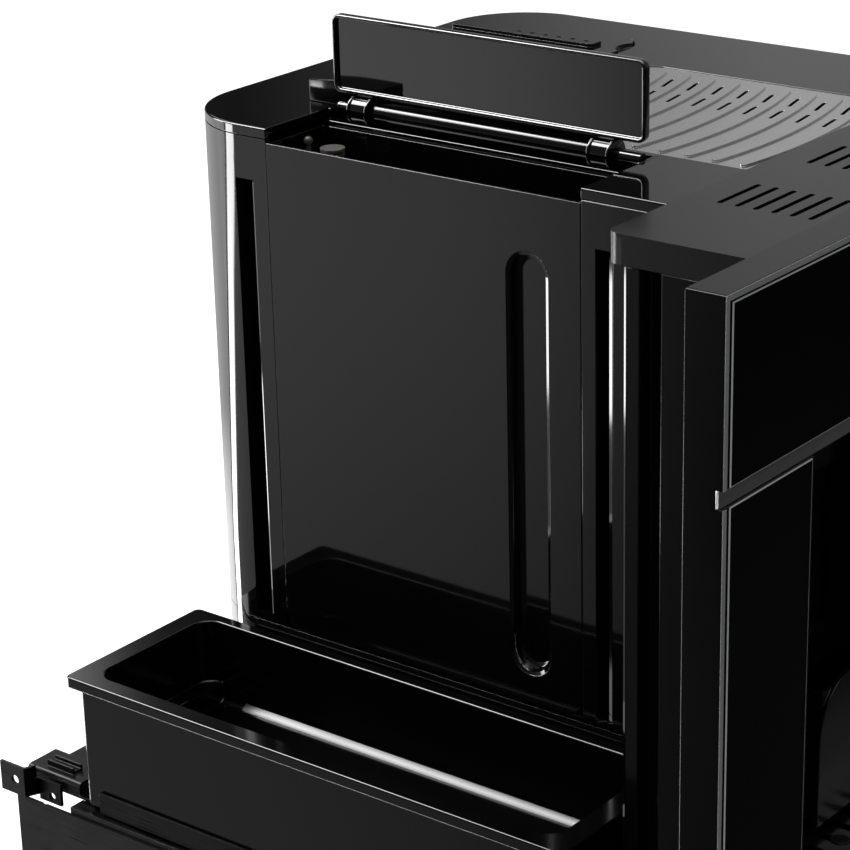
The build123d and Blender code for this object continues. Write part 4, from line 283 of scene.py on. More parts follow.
# Polystyrene, moulded: black with a smooth half gloss that keeps reflections sharp but dim.
HALF_GLOSS_PS = Finish(
    "polystyrene_moulded_half_gloss", "#040404", "#060606", 0.13, 0.03, ior=1.5, specular=0.36,
    grain_mm=0.9, grain_depth_mm=0.0015, wave_mm=80, wave_depth_mm=0.02,
)
# Acetal, moulded and stained by water: dull grey brown.
DULL_POM = Finish(
    "acetal_moulded_grey", "#4a4844", "#5c5a55", 0.4, 0.06, ior=1.48, grain_mm=0.8, grain_depth_mm=0.01
)
# Sheet steel, powder coated: black with a soft bloom and a fine leathery skin.
POWDER_COAT = Finish(
    "steel_sheet_powder_coated", "#0c0c0c", "#111111", 0.2, 0.03, ior=1.5, specular=0.45,
    grain_mm=0.8, grain_depth_mm=0.004, wave_mm=120, wave_depth_mm=0.02,
)
# Sheet steel, lacquered: black, smooth, between satin and gloss.
LACQUERED_SHEET = Finish(
    "steel_sheet_lacquered", "#050505", "#070707", 0.12, 0.03, ior=1.5, specular=0.3,
    grain_mm=1.0, grain_depth_mm=0.001, wave_mm=150, wave_depth_mm=0.02,
)
# Glass, float, printed black on its back: a hard mirror over black.
BLACK_GLASS = Finish(
    "float_glass_back_printed", "#010101", "#010101", 0.02, 0.005, ior=1.52, specular=0.5,
    grain_mm=4.0, wave_mm=200,
)
# Steel, brushed along its length: fine streaks that draw reflections out across them.
TRIM_STEEL = Finish(
    "stainless_steel_brushed", "#c9c9ca", "#d6d6d7", 0.5, 0.1, metallic=1.0,
    grain_mm=0.5, grain_depth_mm=0.006, grain=Grain.ALONG_X,
)
# Glass edges, pale and matt: a painted highlight, so each pane has a fine light outline.
PAINTED_HIGHLIGHT_EDGE = Finish(
    "float_glass_edge_ground", "#a6a8a8", "#b4b6b6", 0.5, 0.05, ior=1.52, specular=0.4, grain_mm=0.5,
    grain_depth_mm=0.004,
)
# Pale grey rim, its colour a painted highlight: the thin pale line where the frame's front edge catches the
# light round the black panes.
PAINTED_HIGHLIGHT_RIM = Finish(
    "rim_painted_highlight", "#6e6f70", "#7a7b7c", 0.4, 0.05, ior=1.5, specular=0.4, grain_mm=0.6,
    grain_depth_mm=0.002,
)
# Stainless sheet, pressed: satin metal with drawn edges.
PRESSED_STEEL = Finish(
    "stainless_steel_pressed_satin", "#dadadb", "#e4e4e5", 0.2, 0.04, metallic=1.0,
    grain_mm=0.7, grain_depth_mm=0.004, grain=Grain.ALONG_Y,
)
# Steel sheet, zinc plated and black passivated: dark with cloudy patches and fine rolling marks.
ZINC_SHEET = Finish(
    "steel_sheet_black_zinc", "#161617", "#242425", 0.34, 0.1, metallic=0.9,
    grain_mm=0.6, grain_depth_mm=0.006, grain=Grain.ALONG_Y, wave_mm=35,
)
# Steel strip, cold rolled into rails: slightly brighter, oily.
RAIL_STEEL = Finish(
    "steel_cold_rolled", "#2c2c2d", "#434344", 0.3, 0.08, metallic=1.0,
    grain_mm=0.6, grain_depth_mm=0.005, grain=Grain.ALONG_Y, wave_mm=40,
)
# Bearing steel, ground and polished: mirror bright.
BEARING_STEEL = Finish("bearing_steel_polished", "#9c9c9e", "#b0b0b2", 0.12, 0.03, metallic=1.0)
# Acetal, moulded: milky white.
WHITE_POM = Finish(
    "acetal_moulded_white", "#c9c9c6", "#dadad8", 0.35, 0.05, ior=1.48, grain_mm=0.8, grain_depth_mm=0.006
)
# Motor can, deep drawn and zinc plated.
MOTOR_CAN = Finish(
    "steel_drawn_zinc_plated", "#77777a", "#8d8d90", 0.3, 0.08, metallic=1.0, grain_mm=0.6,
    grain_depth_mm=0.005, grain=Grain.ALONG_Z,
)
# Aluminium, die cast: pale with a granular skin.
CAST_ALUMINIUM = Finish(
    "aluminium_die_cast", "#8b8c8e", "#a0a1a3", 0.45, 0.08, metallic=1.0, grain_mm=0.9, grain_depth_mm=0.03
)
# Silicone hose, extruded: cloudy and soft.
SILICONE = Finish(
    "silicone_extruded", "#b9b9b4", "#cacac6", 0.4, 0.06, ior=1.41, grain_mm=1.2, grain_depth_mm=0.01
)
# Circuit board, lacquered laminate.
LACQUERED_BOARD = Finish(
    "glass_laminate_lacquered", "#16402a", "#1f5238", 0.3, 0.06, ior=1.5, grain_mm=1.0, grain_depth_mm=0.01
)
# Polycarbonate lens, frosted, lit from behind.
FROSTED_LENS = Finish(
    "polycarbonate_frosted", "#d8d8d4", "#e4e4e0", 0.5, 0.05, ior=1.58, glow=0.3
)


# ------------------------------------------------------------------ mesh tools

def body_of(node: str) -> str:
    """Find the body that holds a CAD node.

    Args:
        node: The CAD node.

    Returns:
        The body's name.
    """
    for body, nodes in frame["record"]["behaviour"]["bodies"].items():
        if node in nodes:
            return body
    raise ValueError(f"no body holds {node}")


def box_mm(node: str) -> tuple[Vector, Vector]:
    """Lower and upper corner of a CAD node's box, in mm."""
    low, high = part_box(node)
    return Vector(low) / MM, Vector(high) / MM


def new_piece(name: str, mesh: bpy.types.Mesh, finish: Finish, node: str) -> bpy.types.Object:
    """Put a mesh into the scene as a finished piece that belongs to a CAD node, and report it.

    Args:
        name: The piece's name.
        mesh: Its mesh, in the frame's metres.
        finish: Its surface.
        node: The CAD node whose body it takes.

    Returns:
        The new object.
    """
    piece = bpy.data.objects.new(name, mesh)
    bpy.context.scene.collection.objects.link(piece)
    mesh.materials.clear()
    mesh.materials.append(finish.material())
    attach(piece, body_of(node))
    LOG.info("built %s", name)
    return piece


def shade(mesh: bpy.types.Mesh, sharp_degrees: float = 35.0) -> None:
    """Shade a mesh smooth, but for its sharp edges.

    Args:
        mesh: The mesh.
        sharp_degrees: Angle from which an edge stays crisp.
    """
    for polygon in mesh.polygons:
        polygon.use_smooth = True
    mesh.set_sharp_from_angle(angle=math.radians(sharp_degrees))


def soften(node: str, finish: Finish, edge_mm: float) -> None:
    """Stand in for a CAD node with the same solid whose edges are broken, as moulds and presses leave them.

    Args:
        node: The CAD node.
        finish: Its surface.
        edge_mm: Width of the broken edge.
    """
    work = bmesh.new()
    source = frame["nodes"][node].data
    points = [work.verts.new(vertex.co) for vertex in source.vertices]
    for polygon in source.polygons:
        corners = [points[index] for index in polygon.vertices]
        if len(set(corners)) > 2 and not work.faces.get(corners):
            work.faces.new(corners)
    bmesh.ops.remove_doubles(work, verts=work.verts, dist=2e-6)
    bmesh.ops.dissolve_limit(
        work, angle_limit=math.radians(0.4), verts=work.verts, edges=work.edges
    )
    bmesh.ops.recalc_face_normals(work, faces=work.faces)
    mesh = bpy.data.meshes.new(f"{node}_soft")
    work.to_mesh(mesh)
    work.free()
    shade(mesh)
    piece = new_piece(f"{node}_soft", mesh, finish, node)
    bevel = piece.modifiers.new("broken_edges", "BEVEL")
    bevel.width = edge_mm * MM
    bevel.segments = 2
    bevel.limit_method = "ANGLE"
    bevel.angle_limit = math.radians(40)
    bevel.use_clamp_overlap = True
    bevel.miter_outer = "MITER_ARC"
    level = piece.modifiers.new("level_faces", "WEIGHTED_NORMAL")
    level.mode = "FACE_AREA"
    level.weight = 100
    level.keep_sharp = True
    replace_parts(piece, node)


class Ends(Enum):
    """How a loft ends."""

    CAPPED = "a fan at each end"
    LOOPED = "the last ring joins the first"


def loft(rings: Sequence[Sequence[Point]], ends: Ends, name: str) -> bpy.types.Mesh:
    """Skin a closed surface over rings that have as many points each.

    Args:
        rings: Rings of points in mm, in order.
        ends: How the first and last rings close.
        name: The mesh's name.

    Returns:
        The mesh, in metres.
    """
    work = bmesh.new()
    loops = [[work.verts.new(Vector(point) * MM) for point in ring] for ring in rings]
    count = len(loops[0])
    pairs = list(zip(loops, loops[1:]))
    if ends is Ends.LOOPED:
        pairs.append((loops[-1], loops[0]))
    for near, far in pairs:
        for index in range(count):
            after = (index + 1) % count
            work.faces.new((near[index], near[after], far[after], far[index]))
    if ends is Ends.CAPPED:
        for ring in (loops[0], loops[-1]):
            middle = work.verts.new(sum((vert.co for vert in ring), Vector()) / count)
            for index in range(count):
                work.faces.new((ring[index], ring[(index + 1) % count], middle))
    bmesh.ops.recalc_face_normals(work, faces=work.faces)
    mesh = bpy.data.meshes.new(name)
    work.to_mesh(mesh)
    work.free()
    shade(mesh)
    return mesh


def rounded_frame(low: Flat, high: Flat, radius: float, inset: float) -> list[Flat]:
    """Draw a rectangle with round corners, drawn in on every side; sizes in mm.

    Args:
        low: Its lower corner.
        high: Its upper corner.
        radius: Corner radius before it is drawn in.
        inset: How far it is drawn in.

    Returns:
        Its points, in order.
    """
    bend = max(radius - inset, SMALLEST_BEND)
    left, bottom = (place + inset + bend for place in low)
    right, top = (place - inset - bend for place in high)
    points = []
    for across, up, start in ((right, top, 0), (left, top, 90), (left, bottom, 180), (right, bottom, 270)):
        for step in range(CORNER_STEPS + 1):
            angle = math.radians(start + 90 * step / CORNER_STEPS)
            points.append((across + bend * math.cos(angle), up + bend * math.sin(angle)))
    return points


def prism(points: Sequence[Flat], axis: int, ends: Flat, edge: float, name: str) -> bpy.types.Mesh:
    """Pull a plan up along an axis and break its edges; sizes in mm.

    Args:
        points: Corners of the plan, in the two other axes' order.
        axis: 0, 1 or 2 for X, Y or Z.
        ends: Where it starts and stops on the axis.
        edge: Width of the broken edges, 0 for none.
        name: The mesh's name.

    Returns:
        The mesh, in metres.
    """
    work = bmesh.new()
    rings = []
    for level in ends:
        ring = []
        for first, second in points:
            place = [first, second]
            place.insert(axis, level)
            ring.append(work.verts.new(Vector(place) * MM))
        rings.append(ring)
        work.faces.new(ring)
    count = len(points)
    for index in range(count):
        after = (index + 1) % count
        work.faces.new((rings[0][index], rings[0][after], rings[1][after], rings[1][index]))
    bmesh.ops.recalc_face_normals(work, faces=work.faces)
    if edge:
        bmesh.ops.bevel(
            work, geom=work.edges[:], offset=edge * MM, segments=2, profile=0.5, affect="EDGES",
            clamp_overlap=True,
        )
    mesh = bpy.data.meshes.new(name)
    work.to_mesh(mesh)
    work.free()
    shade(mesh)
    return mesh


def dress(node: str, finish: Finish) -> None:
    """Give a CAD node, which keeps its own mesh, its surface, and report it.

    Args:
        node: The CAD node.
        finish: Its surface.
    """
    target = frame["nodes"][node]
    if not target.material_slots:
        target.data.materials.append(finish.material())
    for material_slot in target.material_slots:
        material_slot.material = finish.material()
    LOG.info("dressed %s", node)


# ------------------------------------------------------------------ sub-assemblies

@dataclass
class Assembly:
    """A group of pieces that are dressed alike.

    Attributes:
        softened: Node name to its surface and the width of its broken edges, in mm.
        plain: Node name to its surface, for nodes that keep their own mesh.
    """

    softened: dict[str, tuple[Finish, float]] = field(default_factory=dict)
    plain: dict[str, Finish] = field(default_factory=dict)

    def build(self) -> None:
        """Dress every piece of the group."""
        for node, (finish, edge_mm) in self.softened.items():
            soften(node, finish, edge_mm)
        for node, finish in self.plain.items():
            dress(node, finish)


@dataclass(frozen=True)
class Lip:
    """Thin canted facet along an upright edge of a node, which catches the light; sizes in mm.

    Attributes:
        name: Its name.
        node: The node that it belongs to.
        side: Plane of the node's outer face, along X.
        start: Where it starts, along Y.
        width: How far it runs towards the rear.
        low: Its lower end.
        high: Its upper end.
        cant: Its angle to the outer face, in degrees.
        depth: Its thickness.
    """

    name: str
    node: str
    side: float
    start: float
    width: float
    low: float
    high: float
    cant: float = 19.0
    depth: float = 1.6

    def build(self, finish: Finish) -> None:
        """Build the lip on the machine's left, and its mirror image on the right.

        Args:
            finish: Its surface.
        """
        drop = self.width * math.tan(math.radians(self.cant))
        rear = self.start + self.width
        for hand, way in HANDS:
            outer, canted, inner = (way * (self.side + depth) for depth in (0.0, drop, self.depth))
            plan = [(outer, self.start), (canted, rear), (inner, rear), (inner, self.start)]
            mesh = prism(plan, 2, (self.low, self.high), 0.0, self.name)
            new_piece(f"{self.name}_{hand}", mesh, finish, self.node)


@dataclass
class Rails(Assembly):
    """Niche brackets, telescopic rails and the carriage tray."""

    softened: dict[str, tuple[Finish, float]] = field(default_factory=lambda: {
        "niche_brackets": (ZINC_SHEET, 0.4),
        "rear_tie_bar": (ZINC_SHEET, 0.4),
        "outer_rails": (RAIL_STEEL, 0.4),
        "middle_rails": (RAIL_STEEL, 0.4),
        "inner_rails": (RAIL_STEEL, 0.4),
        "carriage_tray": (ZINC_SHEET, 0.4),
        "rear_catches": (ZINC_SHEET, 0.4),
        "rail_rivets": (RAIL_STEEL, 0.3),
        "carriage_rivets": (RAIL_STEEL, 0.3),
    })
    plain: dict[str, Finish] = field(default_factory=lambda: {"ball_cages": BEARING_STEEL})


@dataclass
class Fascia(Assembly):
    """Metal frame with its pale rim, a painted highlight, glass panes, brushed strip and display; sizes in
    mm.

    Attributes:
        rim_width: Width of the pale rim, a painted highlight.
        rim_depth: How deep the rim is set into the frame's front.
        rim_edge: Width of the rim's broken edges.
        gap: Room between a pane and the frame.
        pane_corner: Radius at the panes' corners.
        ground_edge: Section of a pane's pale edge, a painted highlight, as depth from the front and inset
            from the pane's side.
    """

    softened: dict[str, tuple[Finish, float]] = field(default_factory=lambda: {
        "fascia_frame": (LACQUERED_SHEET, 0.5),
        "upper_glass": (BLACK_GLASS, 0.25),
        "lower_glasses": (BLACK_GLASS, 0.25),
        "trim_strip": (TRIM_STEEL, 0.3),
        "touch_display": (INNER_PP, 0.4),
    })
    rim_width: float = 3.0
    rim_depth: float = 0.6
    rim_edge: float = 0.25
    gap: float = 0.2
    pane_corner: float = 0.5
    ground_edge: tuple[Flat, ...] = ((0.56, 0.0), (0.0, 0.56), (0.4, 0.9), (0.9, 0.4))

    def build(self) -> None:
        """Dress the fascia, lay its rim and lay a pale edge round each pane, both painted highlights."""
        super().build()
        self.lay_rim()
        self.lay_highlight_edges()

    def lay_rim(self) -> None:
        """Draw the dressed frame's front back and lay the pale rim, a painted highlight, there, above and
        below the strip.
        """
        low, high = box_mm("fascia_frame")
        for vertex in bpy.data.objects["fascia_frame_soft"].data.vertices:
            if vertex.co.y < (low.y + self.gap) * MM:
                vertex.co.y += self.rim_depth * MM
        side = high.x - self.rim_width
        for name, outer, way, seam in (
            ("fascia_rim_upper", high.z, -1.0, box_mm("upper_glass")[0].z - self.gap),
            ("fascia_rim_lower", low.z, 1.0, box_mm("lower_glasses")[1].z + self.gap),
        ):
            inner = outer + way * self.rim_width
            plan = [(-high.x, seam), (-high.x, outer), (high.x, outer), (high.x, seam),
                    (side, seam), (side, inner), (-side, inner), (-side, seam)]
            rim = prism(plan, 1, (low.y, low.y + self.rim_depth), self.rim_edge, name)
            # The rim's pale grey is a painted highlight along the frame's front edge.
            new_piece(name, rim, PAINTED_HIGHLIGHT_RIM, "fascia_frame")

    def lay_highlight_edges(self) -> None:
        """Lay a pale edge round the front of each pane, its colour a painted highlight."""
        front = box_mm("fascia_frame")[0].y
        outer = box_mm("upper_glass")[1].x
        inner = min(abs(vertex.co.x) for vertex in frame["nodes"]["lower_glasses"].data.vertices) / MM
        for name, node, left, right in (
            ("upper", "upper_glass", -outer, outer),
            ("left", "lower_glasses", -outer, -inner),
            ("right", "lower_glasses", inner, outer),
        ):
            low, high = box_mm(node)
            rings = [
                [(x, front + depth, z)
                 for x, z in rounded_frame((left, low.z), (right, high.z), self.pane_corner, inset)]
                for depth, inset in self.ground_edge
            ]
            edge = loft(rings, Ends.LOOPED, f"ground_edge_{name}")
            # The pale edge is a painted highlight on each pane's front edge.
            new_piece(f"ground_edge_{name}", edge, PAINTED_HIGHLIGHT_EDGE, node)


@dataclass
class DeckBox(Assembly):
    """Vented deck, side columns and the recess with what stands in it; sizes in mm.

    Attributes:
        edge_width: Width of the columns' rolled rear edges.
        edge_stand: How far these stand out from the columns' sides.
        edge_foot: Their ends above the columns' feet.
        edge_head: Their ends below the columns' tops.
        deck_corner: Radius of the deck's rear corners.
        deck_sheet: Thickness of the deck's sheet.
        lip_depth: Depth of the deck's rear lips, along Y.
        lip_lap: How far the lips reach in beside the pillars' sides.
        tuck: How far the lips stay inside the deck's own faces.
    """

    softened: dict[str, tuple[Finish, float]] = field(default_factory=lambda: {
        "deck_cover": (POWDER_COAT, 0.5),
        "side_columns": (LACQUERED_SHEET, 0.6),
        "recess_liner": (SATIN_ABS, 0.5),
        "outlet_guide": (SATIN_ABS, 0.5),
        "coffee_outlet": (GLOSS_ABS, 0.8),
        "outlet_spouts": (TRIM_STEEL, 0.3),
        "drip_tray": (SATIN_ABS, 0.6),
        "drip_grid": (PRESSED_STEEL, 0.4),
        "drip_float": (INNER_PP, 0.4),
        "grounds_box": (SATIN_ABS, 0.8),
        "recess_lamps": (FROSTED_LENS, 0.3),
    })
    edge_width: float = 1.3
    edge_stand: float = 0.35
    edge_foot: float = 1.0
    edge_head: float = 0.5
    deck_corner: float = 7.0
    deck_sheet: float = 2.0
    lip_depth: float = 12.0
    lip_lap: float = 1.0
    tuck: float = 0.05

    def build(self) -> None:
        """Dress the box, roll the columns' rear edges and close the deck's rear corners."""
        super().build()
        low, high = box_mm("side_columns")
        edge = Lip("column_rolled_edge", "side_columns", low.x - self.edge_stand, high.y - self.edge_width,
                   self.edge_width, low.z + self.edge_foot, high.z - self.edge_head)
        edge.build(GLOSS_ABS)
        self.close_corners()

    def close_corners(self) -> None:
        """Build the deck's lips, which turn down behind the columns round the rear corners."""
        low, high = box_mm("deck_cover")
        inner = box_mm("front_pillars")[0].x - self.lip_lap
        side = low.x + self.tuck
        rear = high.y - self.tuck
        bend = self.deck_corner - self.tuck
        for hand, way in HANDS:
            plan = [(way * inner, rear - self.lip_depth), (way * inner, rear)]
            for step in range(CORNER_STEPS + 1):
                angle = math.pi / 2 * (1 + step / CORNER_STEPS)
                across = side + bend + bend * math.cos(angle)
                plan.append((way * across, rear - bend + bend * math.sin(angle)))
            plan.append((way * side, rear - self.lip_depth))
            ends = (low.z + self.tuck, high.z - self.deck_sheet + self.tuck)
            lip = prism(plan, 2, ends, 0.0, "deck_rear_lip")
            new_piece(f"deck_rear_lip_{hand}", lip, POWDER_COAT, "deck_cover")


@dataclass
class Body(Assembly):
    """Housing of the machine; sizes in mm.

    Attributes:
        slot_low: Lower end of the tall slots.
        slot_high: Upper end of the tall slots.
        front_slot_reach: Front slot's front edge before the tank.
        rear_slot_reach: Rear slot's front edge behind the tank.
        front_lip: Width of the front slot's lip.
        rear_lip: Width of the rear slot's lip.
        lip_foot: The lips' ends above the slots' lower ends.
        front_lip_head: The front lip's end below the slot's upper end.
        rear_lip_head: The rear lip's end below the slot's upper end.
    """

    softened: dict[str, tuple[Finish, float]] = field(default_factory=lambda: {
        "base_housing": (GLOSS_ABS, 0.5),
        "rear_shell": (GLOSS_ABS, 0.5),
        "front_pillars": (GLOSS_ABS, 0.5),
        "front_wall": (INNER_PP, 0.4),
        "service_panel": (GLOSS_ABS, 0.5),
        "top_shell": (GLOSS_ABS, 0.5),
        "tank_bay": (INNER_PP, 0.5),
        "power_inlet": (SATIN_ABS, 0.4),
        "case_screws": (RAIL_STEEL, 0.3),
    })
    slot_low: float = 147.0
    slot_high: float = 416.0
    front_slot_reach: float = 19.8
    rear_slot_reach: float = 10.5
    front_lip: float = 2.3
    rear_lip: float = 0.7
    lip_foot: float = 1.0
    front_lip_head: float = 3.0
    rear_lip_head: float = 1.0

    def build(self) -> None:
        """Dress the housing and line the tall slots' front edges."""
        super().build()
        low, high = box_mm("water_tank")
        foot = self.slot_low + self.lip_foot
        front = Lip("front_slot_lip", "front_pillars", low.x, low.y - self.front_slot_reach, self.front_lip,
                    foot, self.slot_high - self.front_lip_head)
        rear = Lip("rear_slot_lip", "rear_shell", low.x, high.y + self.rear_slot_reach, self.rear_lip,
                   foot, self.slot_high - self.rear_lip_head)
        for lip in (front, rear):
            lip.build(GLOSS_ABS)


@dataclass
class Tank(Assembly):
    """Water tank with its finger grip, and its level sensor; sizes in mm.

    Attributes:
        grip_width: Width of the finger grip.
        grip_setback: Grip behind the tank's front end.
        grip_bottom: Grip above the tank's bottom.
        grip_top: Grip below the tank's top.
        grip_profile: Section of its lining, as depth from the tank's side and inset from the grip's edge.
    """

    softened: dict[str, tuple[Finish, float]] = field(default_factory=lambda: {
        "water_tank": (GLOSS_ABS, 0.6),
        "level_sensor": (DULL_POM, 0.3),
    })
    grip_width: float = 27.5
    grip_setback: float = 20.7
    grip_bottom: float = 17.0
    grip_top: float = 32.0
    grip_profile: tuple[Flat, ...] = (
        (7.0, 6.4), (7.0, 5.4), (6.8, 4.4), (5.8, 3.2), (1.5, 2.3), (0.75, 1.9), (0.15, 0.05), (8.5, 0.05),
        (8.5, 5.0),
    )

    def build(self) -> None:
        """Dress the tank and line its finger grip with a dished shell."""
        super().build()
        tank_low, tank_high = box_mm("water_tank")
        front = tank_low.y + self.grip_setback
        low = (front, tank_low.z + self.grip_bottom)
        high = (front + self.grip_width, tank_high.z - self.grip_top)
        rings = [
            [(tank_low.x + depth, y, z) for y, z in rounded_frame(low, high, self.grip_width / 2, inset)]
            for depth, inset in self.grip_profile
        ]
        new_piece("grip_dish", loft(rings, Ends.CAPPED, "grip_dish"), GLOSS_ABS, "water_tank")


@dataclass
class Flap(Assembly):
    """Flap over the tank with its rod, clamps and beam; sizes in mm, from the hinge axis.

    Attributes:
        rise: Lower edge above the axis.
        height: Height of the plate.
        outer: Outer face to the right of the axis.
        thickness: Plate with its rim.
        rim: Width and height of the rim on the inner face.
        corner: Corner radius.
        outer_edge: Section of the outer face's edge, as place from the face and inset from the plate's edge.
        sunk_edge: Section of the sunk face's edge, as place from that face and inset from the rim.
        tuck: How far a piece stays inside the one that it joins.
        barrel_radius: Outside of the barrel on the rod.
        barrel_edge: Width of the barrel's broken ends.
        bore_radius: Inside of the barrel and of the clamps.
        web_left: Web's left face to the right of the axis.
        web_gap: Web inside the plate's outer face and above the bore.
        web_edge: Width of the web's broken edges.
        clamp_width: Length of a clamp along the rod.
        clamp_radius: Outside of a clamp's flanges.
        clamp_waist: Outside of a clamp between its flanges.
        flange: Length of a flange.
        flange_edge: Section of a flange's edge, as place from its side and height from its outside.
        flange_root: Section of the hollow beside a flange, as place from its side and height from the waist.
        foot_half: Half the width of a clamp's foot.
        foot_gap: Foot below the bore.
        foot_inset: Foot inside the clamp's ends.
        foot_edge: Width of the foot's broken edges.
        running_gap: Barrel to clamp.
        tab_reach: Tab behind the plate's rear end.
        tab_rise: Tab's lower edge above the axis.
        tab_height: Height of the tab at its front end.
        tab_slope: Fall of the tab's upper edge.
        tab_thickness: Thickness of the tab.
        tab_edge: Width of the tab's broken edges.
        axis_x: Place of the hinge axis, along X.
        axis_z: Height of the hinge axis.
        front: Plate's front end.
        rear: Plate's rear end.
        foot: Lower side of the clamps.
        front_clamp: Ends of the front clamp.
        rear_clamp: Ends of the rear clamp.
        between_clamps: Ends of the barrel and the web.
    """

    softened: dict[str, tuple[Finish, float]] = field(default_factory=lambda: {
        "hinge_rod": (GLOSS_ABS, 0.4),
        "hinge_beam": (GLOSS_ABS, 0.4),
    })
    rise: float = 9.0
    height: float = 45.0
    outer: float = 2.7
    thickness: float = 5.5
    rim: float = 2.4
    corner: float = 5.0
    outer_edge: tuple[Flat, ...] = ((0.0, 1.6), (0.0, 1.2), (-0.3, 0.35), (-1.0, 0.0))
    sunk_edge: tuple[Flat, ...] = ((-0.2, 0.05), (0.0, 0.3), (0.0, 1.0))
    tuck: float = 0.05
    barrel_radius: float = 5.2
    barrel_edge: float = 0.5
    bore_radius: float = 3.7
    web_left: float = 0.2
    web_gap: float = 0.1
    web_edge: float = 0.3
    clamp_width: float = 14.0
    clamp_radius: float = 8.9
    clamp_waist: float = 8.0
    flange: float = 1.5
    flange_edge: tuple[Flat, ...] = ((0.0, -0.4), (0.12, -0.1), (0.4, 0.0))
    flange_root: tuple[Flat, ...] = ((0.0, 0.15), (0.2, 0.0))
    foot_half: float = 5.0
    foot_gap: float = 0.8
    foot_inset: float = 0.3
    foot_edge: float = 0.4
    running_gap: float = 1.0
    tab_reach: float = 21.0
    tab_rise: float = 0.5
    tab_height: float = 15.5
    tab_slope: float = 3.5
    tab_thickness: float = 2.2
    tab_edge: float = 0.5
    axis_x: float = field(init=False)
    axis_z: float = field(init=False)
    front: float = field(init=False)
    rear: float = field(init=False)
    foot: float = field(init=False)
    front_clamp: Flat = field(init=False)
    rear_clamp: Flat = field(init=False)
    between_clamps: Flat = field(init=False)

    def __post_init__(self) -> None:
        """Take the hinge axis, the plate's ends and the clamps' places from the frame."""
        rod_low, rod_high = box_mm("hinge_rod")
        self.axis_x = (rod_low.x + rod_high.x) / 2
        self.axis_z = (rod_low.z + rod_high.z) / 2
        flap_low, flap_high = box_mm("flap_panel")
        self.front = flap_low.y
        self.rear = flap_high.y - self.tab_reach
        low, high = box_mm("hinge_clamps")
        self.foot = low.z
        self.front_clamp = (low.y, low.y + self.clamp_width)
        self.rear_clamp = (high.y - self.clamp_width, high.y)
        self.between_clamps = (self.front_clamp[1] + self.running_gap, self.rear_clamp[0] - self.running_gap)

    def build(self) -> None:
        """Build the flap with its tab, web and barrel, and the clamps."""
        super().build()
        for name, mesh, finish in (
            # The plate's more reflective copy of the gloss black is a painted sheen.
            ("flap_plate", self.plate(), PAINTED_SHEEN_ABS),
            ("flap_tab", self.tab(), HALF_GLOSS_PS),
            ("flap_web", self.web(), HALF_GLOSS_PS),
            ("flap_barrel", self.barrel(), HALF_GLOSS_PS),
        ):
            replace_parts(new_piece(name, mesh, finish, "flap_panel"), "flap_panel")
        for side, ends in (("front", self.front_clamp), ("rear", self.rear_clamp)):
            for mesh in (self.clamp_ring(*ends), self.clamp_foot(*ends)):
                piece = new_piece(f"{mesh.name.split('.')[0]}_{side}", mesh, GLOSS_ABS, "hinge_clamps")
                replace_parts(piece, "hinge_clamps")

    def plate(self) -> bpy.types.Mesh:
        """Build the plate: rounded outer edges and a round rim about a sunk inner face.

        Returns:
            Its mesh.
        """
        back = self.axis_x + self.outer
        face = back - self.thickness
        sunk = face + self.rim
        bead = self.rim / 2
        profile = [(back + place, inset) for place, inset in self.outer_edge]
        for step in range(BEAD_STEPS + 1):
            angle = math.pi * step / BEAD_STEPS
            profile.append((face + bead * (1 - math.sin(angle)), bead * (1 - math.cos(angle))))
        profile += [(sunk + place, self.rim + inset) for place, inset in self.sunk_edge]
        foot = self.axis_z + self.rise
        low = (self.front, foot)
        high = (self.rear, foot + self.height)
        rings = [
            [(x, y, z) for y, z in rounded_frame(low, high, self.corner, inset)] for x, inset in profile
        ]
        return loft(rings, Ends.CAPPED, "flap_plate")

    def tab(self) -> bpy.types.Mesh:
        """Build the tab behind the plate, which lies on the top shell's edge when the flap is shut.

        Returns:
            Its mesh.
        """
        front = self.rear_clamp[1] + self.running_gap
        rear = self.rear + self.tab_reach
        low = self.axis_z + self.tab_rise
        high = low + self.tab_height
        plan = [(front, low), (rear, low), (rear, high - self.tab_slope), (front, high)]
        back = self.axis_x + self.outer - self.tuck
        return prism(plan, 0, (back - self.tab_thickness, back), self.tab_edge, "flap_tab")

    def web(self) -> bpy.types.Mesh:
        """Build the web between barrel and plate.

        Returns:
            Its mesh.
        """
        left = self.axis_x + self.web_left
        right = self.axis_x + self.outer - self.web_gap
        low = self.axis_z + self.bore_radius + self.web_gap
        high = self.axis_z + self.rise + self.rim
        plan = [(left, low), (right, low), (right, high), (left, high)]
        return prism(plan, 1, self.between_clamps, self.web_edge, "flap_web")

    def turned(self, profile: Sequence[Flat], name: str) -> bpy.types.Mesh:
        """Turn a closed profile about the hinge axis.

        Args:
            profile: Points of the profile, as place along the rod and radius.
            name: The mesh's name.

        Returns:
            The mesh.
        """
        turns = [2 * math.pi * index / TURNED_FACETS for index in range(TURNED_FACETS)]
        rings = [
            [(self.axis_x + radius * math.cos(turn), along, self.axis_z + radius * math.sin(turn))
             for turn in turns]
            for along, radius in profile
        ]
        return loft(rings, Ends.LOOPED, name)

    def barrel(self) -> bpy.types.Mesh:
        """Build the barrel that turns on the rod between the clamps.

        Returns:
            Its mesh.
        """
        front, rear = self.between_clamps
        radius = self.barrel_radius
        edge = self.barrel_edge
        profile = [
            (front, self.bore_radius), (front, radius - edge), (front + edge, radius), (rear - edge, radius),
            (rear, radius - edge), (rear, self.bore_radius),
        ]
        return self.turned(profile, "flap_barrel")

